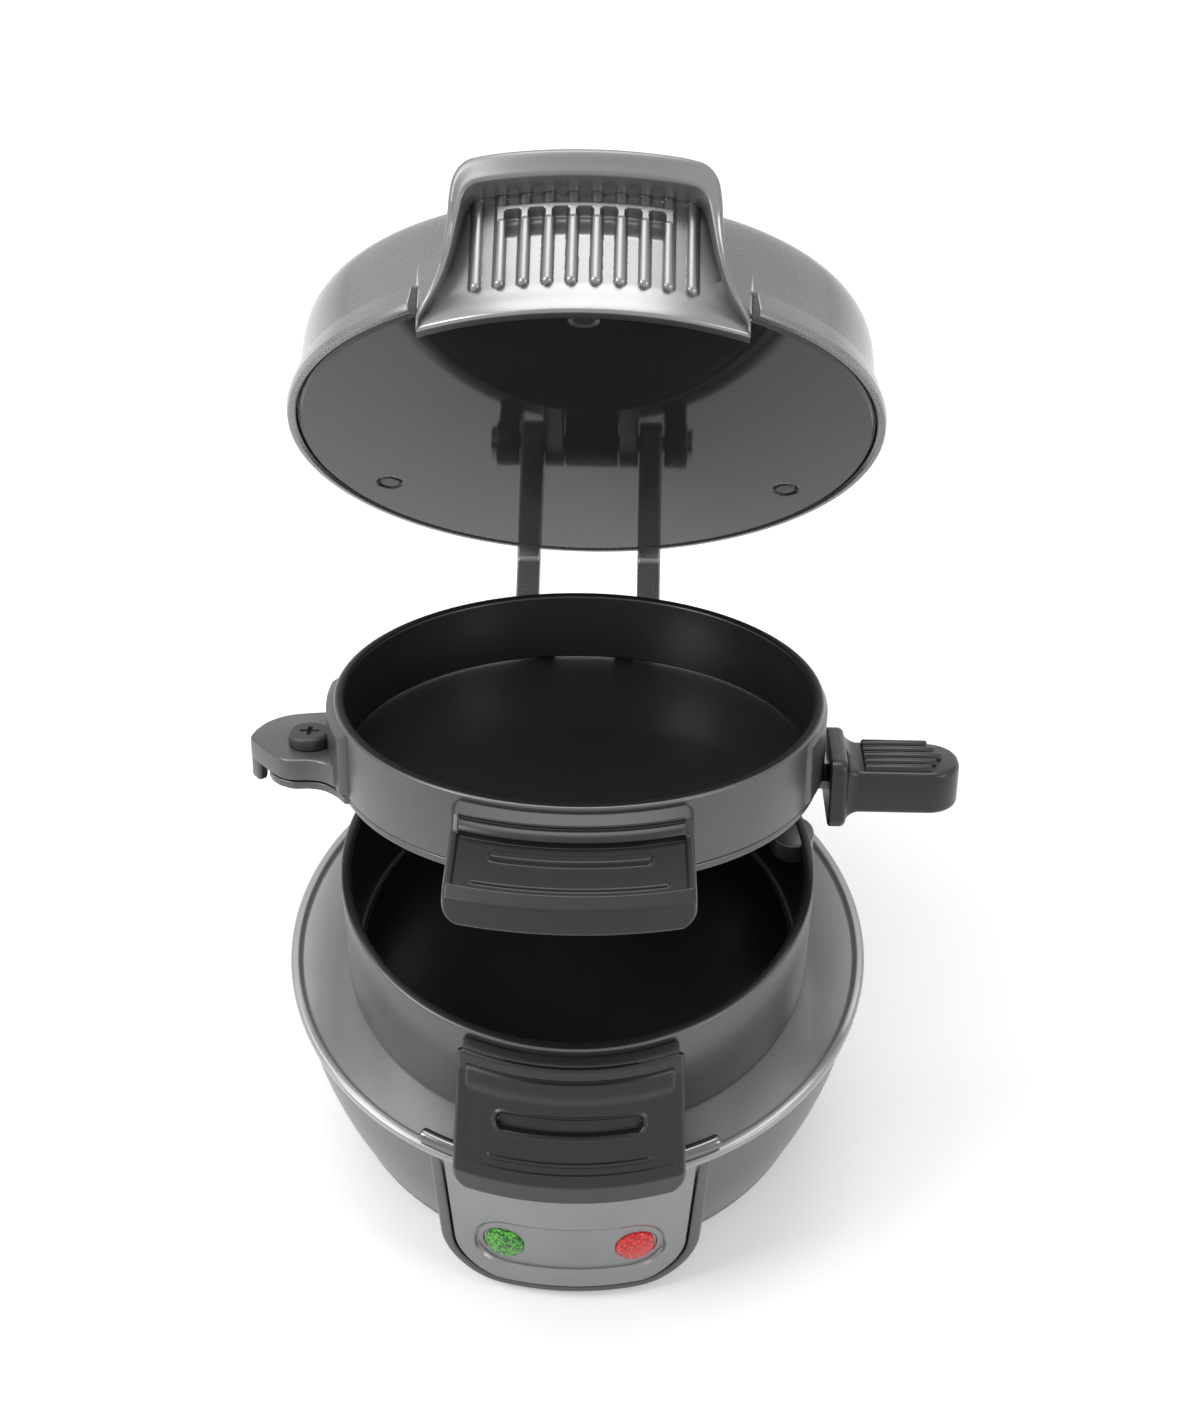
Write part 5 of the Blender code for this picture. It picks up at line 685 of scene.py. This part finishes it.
# A crease and a roll under the lip, a sunk slot with a raised lip, a thin ridge and a thin border line
def lowerRelief(x, s, fromSide):
    g = lowerGrip
    inside = eased(fromSide, g["border"], g["border"] + 0.7)
    crease = -0.5 * np.exp(-((s - g["crease"]) / 0.4) ** 2) * inside
    share = np.clip((s - g["crease"]) / (g["rollEnd"] - g["crease"]), 0, 1)
    roll = 0.75 * np.sin(share ** 0.6 * math.pi) * inside
    field = -0.45 * eased(s, 8.5, 11.0) * (1 - eased(s, g["lineAt"] - 0.4, g["lineAt"])) * inside
    slot = boxAway(x, s, 0, g["slotAt"], g["slotHalf"], g["slotTall"], g["slotTall"] - 0.05)
    sunk = -1.7 * (1 - eased(slot, -0.3, 0.1)) + 0.4 * np.exp(-((slot - 0.55) / 0.33) ** 2)
    ridge = 0.5 * (1 - eased(boxAway(x, s, 0, g["ridgeAt"], g["ridgeHalf"], 0.38, 0.3), -0.1, 0.3))
    return crease + roll + field + sunk + ridge


# Painted shade: the lower neck pad takes the black matte finish, so the band between the ring and the handle's lip
# reads as a shadowed gap
paintedShadeNeck = neckPad(23.4, 60.2, 76.4, 54.7, 57.4)
paintedShadeNeck["tone"] = paintedShadeNeck["tone"] + 1
lowerShapes = [bentHandle(lowerFace, lowerGrip, lowerRelief, 280), block((-9.0, -60.0, 57.5), (9.0, -57.0, 63.4)),
               paintedShadeNeck]
makePiece("lowerHandle", "lower_stage", [charcoalSatin, blackMatte], lowerShapes, ["lower_handle"])


# Cooking plate, its pivot and its handle
plate = {"radius": 54.0, "greyFrom": 53.2, "lug": 9.3, "pivot": (-59.5, -6.7), "screwHead": 4.8}
plateProfile = softLine([(0, level["plateTop"]), (plate["radius"], level["plateTop"]),
                         (plate["radius"], level["plateLow"]), (0, level["plateLow"])], [0, 0.5, 0.5, 0], 4)
plateDisc = spun(plateProfile, 200, closed=False)
plateDisc["tone"] = np.repeat((plateProfile[:-1, 0] > plate["greyFrom"]).astype(int), 200)
# The lug lies flush under the front edge of the ear
lugFront = [(-65.6, -13.7), (-62.5, -15.1), (-58.8, -15.0), (-55.6, -15.9), (-52.6, -18.5), (-50.4, -21.6)]
lugLine = np.vstack([arcPoints(plate["pivot"], plate["lug"], 60, 215, 40), throughPoints(lugFront, 50),
                     arcPoints((0, 0), 53.4, 204, 171, 12)])
lugShape = pillow(evenly(lugLine, 220, closed=True), 78.35, 80.15, "Z", 0.3)
lugShape["tone"] = lugShape["tone"] + 1
tabShape = block((47.5, -10.1, 78.32), (72.6, -1.1, 80.18), 0.5)
tabShape["tone"] = tabShape["tone"] + 1
makePiece("cookingPlate", "plate", [nonStick, ringGrey], [plateDisc, lugShape, tabShape], ["cooking_plate"])

cross = {"half": 2.15, "width": 0.5, "deep": 1.1, "round": 0.9}


# Round head with a cross sunk into its top: height falls where both distances to the cross are below 0
def crossHead(centre, low, high, radius):
    size, width, edge = cross["half"], cross["width"], cross["round"]
    turn = np.linspace(0, math.pi / 2, 7)[1:]
    r = np.concatenate([np.linspace(0, radius - edge, 60), radius - edge + edge * np.sin(turn)])
    drop = np.concatenate([np.zeros(60), edge * (1 - np.cos(turn))])
    a = fullTurn(180)
    u, v = r[:, None] * np.cos(a), r[:, None] * np.sin(a)
    away = np.minimum(boxAway(u, v, 0, 0, size, width, 0.1), boxAway(u, v, 0, 0, width, size, 0.1))
    z = high - drop[:, None] - cross["deep"] * (1 - eased(away, -0.14, 0.0))
    top = np.stack([centre[0] + u, centre[1] + v, z], -1)
    wall = np.stack([centre[0] + radius * np.cos(a), centre[1] + radius * np.sin(a), np.full(180, low)], -1)[None]
    return openTop(np.concatenate([top, wall]))


makePiece("pivotScrew", "upper_stage", screwDark,
          [crossHead(plate["pivot"], 86.0, 88.7, plate["screwHead"]),
           spun(softLine([(0, 86.1), (2.5, 86.1), (2.5, 76.5), (0, 76.5)], [0, 0, 0.4, 0], 3), 40, plate["pivot"],
                closed=False)], ["pivot_screw"])

handle = {"inner": 55.4, "flange": 3.8, "tall": 8.1, "length": 25.3, "half": 7.85, "middle": -5.6, "low": 74.15,
          "centre": 79.25, "high": 84.35, "end": 7.2,
          "ribs": 5, "ribPitch": 2.9, "ribRadius": 1.08, "ribStart": 3.9, "ribLength": 17.4}
gripStart = handle["inner"] + handle["flange"]
gripEnd = gripStart + handle["length"]
gripPlan = evenly(softLine([(handle["inner"] + 1.8, handle["middle"] - handle["half"]),
                            (gripEnd, handle["middle"] - handle["half"]), (gripEnd, handle["middle"] + handle["half"]),
                            (handle["inner"] + 1.8, handle["middle"] + handle["half"])],
                           [0.3, handle["end"], handle["end"], 0.3], 16, closed=True), 220, closed=True)
plateHandleShapes = [pillow(gripPlan, handle["low"], handle["high"], "Z", 1.3, 5)]


# A standing plate whose outer face runs out into the grip on a hollow curve: x = flange + fillet of height and depth
def flangeGrid():
    def oblong(half, tall, corner):
        corners = [(-half, -tall), (half, -tall), (half, tall), (-half, tall)]
        return evenly(softLine(corners, corner, 6, closed=True), 160, closed=True)

    outline, grip = oblong(10, handle["tall"], 2.2), oblong(7.7, 5.0, 1.2)
    lines = [(x, outline * s) for x, s in ((0.0, 0.96), (0.35, 1.0), (2.7, 1.0), (3.4, 0.975), (3.8, 0.93))]
    for f in np.linspace(0.15, 1, 9) * math.pi / 2:
        lines.append((handle["flange"] + 4.0 * (1 - math.cos(f)),
                      outline * 0.93 * (1 - math.sin(f)) + grip * math.sin(f)))
    grid = [np.insert(line + [handle["middle"], handle["centre"]], 0, handle["inner"] + x, 1) for x, line in lines]
    return gridOf(np.stack(grid), wrapCols=True, capRows=True)


plateHandleShapes.append(flangeGrid())
for index in range(handle["ribs"]):
    step = index - 2
    length = handle["ribLength"] - abs(step) * 1.3
    y = handle["middle"] + step * handle["ribPitch"]
    start = gripStart + handle["ribStart"]
    plateHandleShapes.append(alongX(handle["ribRadius"], start, start + length, y, handle["high"] + 0.15, 0.5, 24))
plateHandleShapes.append(block((gripStart + 4.3, handle["middle"] - 5.5, handle["low"] - 0.3),
                               (gripStart + 18.0, handle["middle"] + 5.5, handle["low"] + 1), 0.3))
makePiece("plateHandle", "plate", charcoalSatin, plateHandleShapes, ["plate_handle"])
print("plate ready")


# Lid
lid = {"radius": 66.6, "height": 28.2, "wall": 2.2, "bandTop": 105.2, "power": 8.0}


# Rounded square section: radius = R cos(a)^(2/power), height = H sin(a)^(2/power), from the pole to the rim
def domeLine(shrink, count=48):
    a = math.pi / 2 * (1 - np.linspace(0, 1, count))
    a = np.concatenate([[math.pi / 2], math.pi / 2 - 1e-5 * 40 ** np.arange(0, 3), a[1:]])
    across = np.maximum(np.cos(a), 0) ** (2 / lid["power"])
    up = np.maximum(np.sin(a), 0) ** (2 / lid["power"])
    across[0] = 0
    return np.stack([(lid["radius"] - shrink) * across, level["lidLow"] + (lid["height"] - shrink) * up], 1)


outerDome = domeLine(0)
outerDome = outerDome[outerDome[:, 1] > lid["bandTop"]]
rimLine = softLine([tuple(outerDome[-1]), (66.55, 103.9), (68.1, 103.0), (69.2, 98.6), (68.9, 97.0), (67.6, 97.0),
                    (66.9, 97.6), (66.9, 99.4), (64.4, 99.4)], [0, 0.5, 0.7, 0.9, 0.5, 0.3, 0.3, 0.2, 0.3], 5)
innerDome = domeLine(lid["wall"])[::-1]
innerDome = innerDome[innerDome[:, 1] > 99.6]
lidProfile = np.vstack([outerDome, rimLine[1:], innerDome])


# Angles around the lid, close together where the rim band stops beside the hood's foot
def lidAngles():
    half = np.concatenate([np.linspace(0, 30.5, 26), [31.7, 31.85, 32.0, 32.15, 32.3], np.linspace(33.5, 180, 106)])
    return np.radians(np.concatenate([half, 360 - half[1:-1][::-1]]))


def lidSkin(profile):
    a = lidAngles()
    turn = np.degrees(np.minimum(a, 2 * math.pi - a))[None]
    r, z = profile[:, 0][:, None] + 0 * a[None], profile[:, 1][:, None] + 0 * a[None]
    r = np.where(z < 104.2, r - (1 - eased(turn, 31.8, 32.2)) * np.maximum(r - 66.2, 0), r)
    return gridOf(np.stack([r * np.sin(a), -r * np.cos(a), z], -1), wrapCols=True)


lidShapes = [lidSkin(lidProfile)]
arm = softLine([(64.0, 100.6), (64.0, 112.6), (70, 113.6), (78, 107.6), (80, 69.5), (80, 57.5), (68, 57.5), (68, 69.5),
                (70, 95.8)], [0, 2.5, 3, 3, 3, 5.9, 5.9, 2, 3], 6, closed=True)
for low, high in ((12.6, 18.6), (-18.6, -12.6)):
    lidShapes.append(pillow(arm, low, high, "X", 0.7))
makePiece("lidDome", "lid", greySatin, lidShapes, ["lid_shell"])

plateUnder = {"edge": 66.6, "low": 96.95, "top": 99.1, "round": 0.8, "screwOut": 55.4, "sink": 3.1, "deep": 0.9}


# Flat polished plate under the lid, sunk around its three screws
def underPlate():
    c = plateUnder
    out = np.concatenate([np.linspace(0, 51.6, 14)[:-1], np.linspace(51.6, 59.2, 26)[:-1],
                          np.linspace(59.2, c["edge"] - c["round"], 8)])
    a = fullTurn(720)
    r, t = np.meshgrid(out, a, indexing="ij")
    r = np.maximum(r, 1e-3)
    x, y = r * np.sin(t), -r * np.cos(t)
    away = np.full_like(x, 99.0)
    for degrees in (0, 120, 240):
        way = math.radians(degrees)
        away = np.minimum(away, np.hypot(x - c["screwOut"] * math.sin(way), y + c["screwOut"] * math.cos(way)))
    z = c["low"] + c["deep"] * (1 - eased(away, c["sink"] - 0.3, c["sink"] + 0.3))
    rings = [np.stack([x, y, z], -1)]
    for radius, height in ((c["edge"], c["low"] + c["round"]), (c["edge"], c["top"] - c["round"]),
                           (c["edge"] - c["round"], c["top"]), (1e-3, c["top"])):
        rings.append(np.stack([radius * np.sin(a), -radius * np.cos(a), np.full_like(a, height)], -1)[None])
    return gridOf(np.concatenate(rings), wrapCols=True, capRows=True)


makePiece("lidLining", "lid", linerGloss, [underPlate()], ["lid_liner"])
topLine = softLine([(0, 102.4), (49.7, 102.4), (49.7, 99.4), (0, 99.4)], [0, 0.5, 0.3, 0], 4)
makePiece("topPlate", "lid", nonStick, [spun(topLine, 160, closed=False)], ["top_heating_plate"])

hood = {"faceRadius": 68.6, "backRadius": 66.9, "top": 124.4, "foot": 91.1, "mouthTop": 119.0,
        "ribs": 10, "ribPitch": 5.0, "ribRadius": 1.35, "ribLow": 99.0, "ledgeHalf": 18.6}


# A right half line, from the foot up to the middle, carried on down the left side
def mirrored(half, count):
    half = evenly(throughPoints(half, 400), count)
    return np.vstack([half, (half * np.array([-1, 1]))[::-1][1:]])


outerHood = mirrored([(34.6, 91.1), (34.6, 93.6), (34.1, 95.4), (32.9, 97.2), (31.6, 99.6), (30.4, 102.4),
                      (29.4, 106.0), (28.8, 110.0), (28.5, 114.0), (28.2, 118.0), (27.4, 121.4), (25.4, 123.6),
                      (22.0, 124.3), (12, 124.4), (0, 124.4)], 110)
innerHood = mirrored([(34.0, 92.2), (33.9, 93.4), (32.9, 94.9), (31.2, 97.2), (29.8, 99.6), (28.6, 102.6),
                      (27.4, 106.6), (26.5, 110.6), (25.8, 114.0), (25.0, 116.8), (23.3, 118.5), (20.0, 118.9),
                      (8, 118.9), (0, 118.9)], 110)


# Radius of the hood's front edge, leaning from the roof back to the foot
def hoodReach(z):
    share = np.clip((z - hood["foot"]) / (hood["top"] - hood["foot"]), 0, 1)
    return 69.8 + 8.2 * share ** 0.85


# Radius at which the hood meets the dome behind it, a little inside the shell
def hoodBack(z):
    h = np.clip((z - level["lidLow"]) / lid["height"], 0, 0.985)
    return np.where(z < 104, hood["backRadius"], (lid["radius"] - 0.7) * (1 - h ** lid["power"]) ** (1 / lid["power"]))


# Across the band: up out of the dome, over a rounded front edge, and in to the ribbed face
def hoodBand():
    across = innerHood - outerHood
    toInner = across / np.maximum(np.linalg.norm(across, axis=1, keepdims=True), 1e-6)
    width = np.linalg.norm(across, axis=1, keepdims=True)
    radius = np.minimum(1.3, width * 0.4)
    a = np.linspace(0, math.pi / 2, 6)
    frontOut, frontIn = hoodReach(outerHood[:, 1]), hoodReach(innerHood[:, 1])
    lines, depth = [outerHood], [hoodBack(outerHood[:, 1])]
    for f in (0.35, 0.7):
        lines.append(outerHood)
        depth.append(depth[0] + (frontOut - radius[:, 0] - depth[0]) * f)
    for k in a:
        lines.append(outerHood + toInner * radius * (1 - math.cos(k)))
        depth.append(frontOut - radius[:, 0] * (1 - math.sin(k)))
    for f in (0.33, 0.66):
        lines.append(outerHood + toInner * (radius + (width - 2 * radius) * f))
        depth.append(frontOut + (frontIn - frontOut) * f)
    for k in a[::-1]:
        lines.append(innerHood - toInner * radius * (1 - math.cos(k)))
        depth.append(frontIn - radius[:, 0] * (1 - math.sin(k)))
    lines.append(innerHood)
    depth.append(np.full(len(innerHood), hood["faceRadius"] - 1.2))
    return faced(np.stack(lines), np.stack(depth), "F")


bandShape = gridOf(hoodBand(), wrapRows=True)
count = len(outerHood)
footLine = list(range(0, len(bandShape["points"]), count))
bandShape["caps"] = [footLine, [k + count - 1 for k in footLine][::-1]]
makePiece("lidHood", "lid", hoodSatin, [bandShape], ["lid_handle"], sharp=50)


# Half width of the ribbed face, reaching just behind the hood's inner edge
def faceHalf(z):
    half = innerHood[:110]
    wide = np.interp(z, half[:, 1], half[:, 0])
    return np.where(z < 92.3, 34.6, wide) + 0.35 * eased(z, 92.0, 95.0)


zRows = np.concatenate([np.linspace(hood["foot"], 92.4, 12)[:-1], np.linspace(92.4, 98.5, 40)[:-1],
                        np.linspace(98.5, hood["mouthTop"], 130)])
uCols = np.linspace(-1, 1, 420)
zFace = np.repeat(zRows[:, None], len(uCols), 1)
xFace = faceHalf(zFace) * uCols[None]
skirt = hood["faceRadius"] + (1 - eased(zFace, 92.0, 98.5))
rib = np.zeros_like(xFace)
for index in range(hood["ribs"]):
    x0 = (index - 4.5) * hood["ribPitch"]
    away = np.hypot(xFace - x0, np.minimum(zFace - hood["ribLow"], 0))
    rib = np.maximum(rib, np.sqrt(np.maximum(hood["ribRadius"] ** 2 - away ** 2, 0)) * 1.05)
bay = np.full_like(xFace, 9.0)
for index in range(hood["ribs"] - 3):
    x0 = (index - 3) * hood["ribPitch"]
    bay = np.minimum(bay, boxAway(xFace, zFace, x0, 104.9, 1.4, 10.0, 0.3))
bar = eased(bay, 0.0, 0.5) * eased(zFace, 112.6, 113.2) * (1 - eased(zFace, 116.2, 117.0))
bar *= 1 - eased(np.abs(xFace), hood["ledgeHalf"] - 0.4, hood["ledgeHalf"])
pocket = (1 - eased(bay, -0.25, 0.15)) * eased(zFace, 109.0, 113.6)
relief = np.maximum(rib, bar * 1.7) - pocket * 1.4
relief -= turnedOver(zFace - hood["foot"], 0.8)
outerSkin = faced(np.stack([xFace, zFace], -1), skirt + relief, "F")
innerSkin = faced(np.stack([xFace, zFace], -1), hood["backRadius"], "F")
makePiece("ribbedFace", "lid", silverPaint, shelled(outerSkin, innerSkin), ["lid_handle"], sharp=50)
print("lid ready")

# The solids that stay take a finish each
keptFinish = {
    blackMatte: ("bottom_cover", "thermostat", "lamp_holder", "cord_gland"),
    footRubber: ("foot_1", "foot_2", "foot_3", "foot_4"),
    neonGlass: ("ready_lamp", "power_lamp"),
    plainSteel: ("bottom_element", "top_element", "thermal_fuse", "hinge_pin", "pivot_nut"),
}
keptFinish = {name: finish for finish, names in keptFinish.items() for name in names}
for name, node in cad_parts.items():
    if name in keptFinish or "screw" in name:
        node.data.materials.clear()
        node.data.materials.append(keptFinish.get(name, screwDark if "liner" in name else plainSteel))


# Floor, light and camera
# How much of the studio a ray sees as the white backdrop: all of it for the camera and for reflections
def backdropShare(tree):
    paths = addNode(tree, "ShaderNodeLightPath")
    first = addNode(tree, "ShaderNodeMath", operation="MAXIMUM")
    second = addNode(tree, "ShaderNodeMath", operation="MAXIMUM")
    wire(paths.outputs["Is Camera Ray"], first, 0)
    wire(paths.outputs["Is Glossy Ray"], first, 1)
    wire(first.outputs["Value"], second, 0)
    wire(paths.outputs["Is Transmission Ray"], second, 1)
    return second.outputs["Value"]


studio = {"floorPale": 0.86, "floorDim": 0.3, "floorGlow": 0.32, "skyTop": 0.55, "skySide": 0.2, "backdrop": 1.0}

floorFinish = bpy.data.materials.new("paleFloor")
floorFinish.use_nodes = True
tree = floorFinish.node_tree
tree.nodes.clear()
output = addNode(tree, "ShaderNodeOutputMaterial")
pale = addNode(tree, "ShaderNodeBsdfDiffuse", Color=(*grey(studio["floorPale"]), 1))
glow = addNode(tree, "ShaderNodeEmission", Color=(1, 1, 1, 1), Strength=studio["floorGlow"])
both = addNode(tree, "ShaderNodeAddShader")
dim = addNode(tree, "ShaderNodeBsdfDiffuse", Color=(*grey(studio["floorDim"]), 1))
mix = addNode(tree, "ShaderNodeMixShader")
wire(pale.outputs["BSDF"], both, 0)
wire(glow.outputs["Emission"], both, 1)
wire(backdropShare(tree), mix, "Fac")
wire(dim.outputs["BSDF"], mix, 1)
wire(both.outputs["Shader"], mix, 2)
wire(mix.outputs["Shader"], output, "Surface")

floorMesh = bpy.data.meshes.new("floor")
floorMesh.from_pydata([(-3, -3, 0), (3, -3, 0), (3, 3, 0), (-3, 3, 0)], [], [(0, 1, 2, 3)])
floorMesh.materials.append(floorFinish)
floor = bpy.data.objects.new("floor", floorMesh)
scene.collection.objects.link(floor)


def softLight(name, place, target, size, power):
    lamp = bpy.data.lights.new(name, "AREA")
    lamp.shape = "RECTANGLE"
    lamp.size, lamp.size_y = size
    lamp.energy = power
    made = bpy.data.objects.new(name, lamp)
    made.location = place
    made.rotation_euler = (Vector(target) - Vector(place)).to_track_quat("-Z", "Y").to_euler()
    scene.collection.objects.link(made)


softLight("overhead", (-0.05, 0.35, 1.15), (0, 0, 0.1), (1.0, 0.7), 7.5)
softLight("keyLeft", (-0.85, -0.25, 0.85), (0, 0, 0.12), (0.5, 0.5), 6.5)
softLight("fillRight", (0.9, -0.5, 0.6), (0, 0, 0.12), (0.4, 0.5), 2.4)

world = scene.world or bpy.data.worlds.new("studio")
scene.world = world
world.use_nodes = True
tree = world.node_tree
tree.nodes.clear()
output = addNode(tree, "ShaderNodeOutputWorld")
sky = addNode(tree, "ShaderNodeBackground", Color=(1, 1, 1, 1))
where = addNode(tree, "ShaderNodeTexCoord")
split = addNode(tree, "ShaderNodeSeparateXYZ")
wire(where.outputs["Generated"], split, "Vector")
wire(spread(tree, split.outputs["Z"], studio["skySide"], studio["skyTop"]), sky, "Strength")
seen = addNode(tree, "ShaderNodeBackground", Color=(1, 1, 1, 1), Strength=studio["backdrop"])
mix = addNode(tree, "ShaderNodeMixShader")
wire(backdropShare(tree), mix, "Fac")
wire(sky.outputs["Background"], mix, 1)
wire(seen.outputs["Background"], mix, 2)
wire(mix.outputs["Shader"], output, "Surface")

view = {"elevation": 44.754, "roll": 0.237, "distance": 499.5, "focal": 2325.9, "aim": (2.57, 0.0, 128.35), "yaw": 1.264,
        "tall": 1408}
e, roll, yaw = (math.radians(view[k]) for k in ("elevation", "roll", "yaw"))
back = Vector((math.sin(yaw) * math.cos(e), -math.cos(yaw) * math.cos(e), math.sin(e)))
right = Vector((math.cos(yaw), math.sin(yaw), 0))
up = back.cross(right)
lens = bpy.data.cameras.new("photographView")
lens.sensor_fit = "AUTO"
lens.sensor_width = 36
lens.lens = view["focal"] / view["tall"] * 36
lens.clip_start = 0.01
camera = bpy.data.objects.new("photographView", lens)
spot = (Vector(view["aim"]) + back * view["distance"] + Vector(pot["shift"])) * 0.001
turned = Matrix((right * math.cos(roll) + up * math.sin(roll), up * math.cos(roll) - right * math.sin(roll),
                 back)).transposed()
camera.matrix_world = Matrix.Translation(spot) @ turned.to_4x4()
scene.collection.objects.link(camera)
scene.camera = camera
scene.view_settings.view_transform = "Standard"
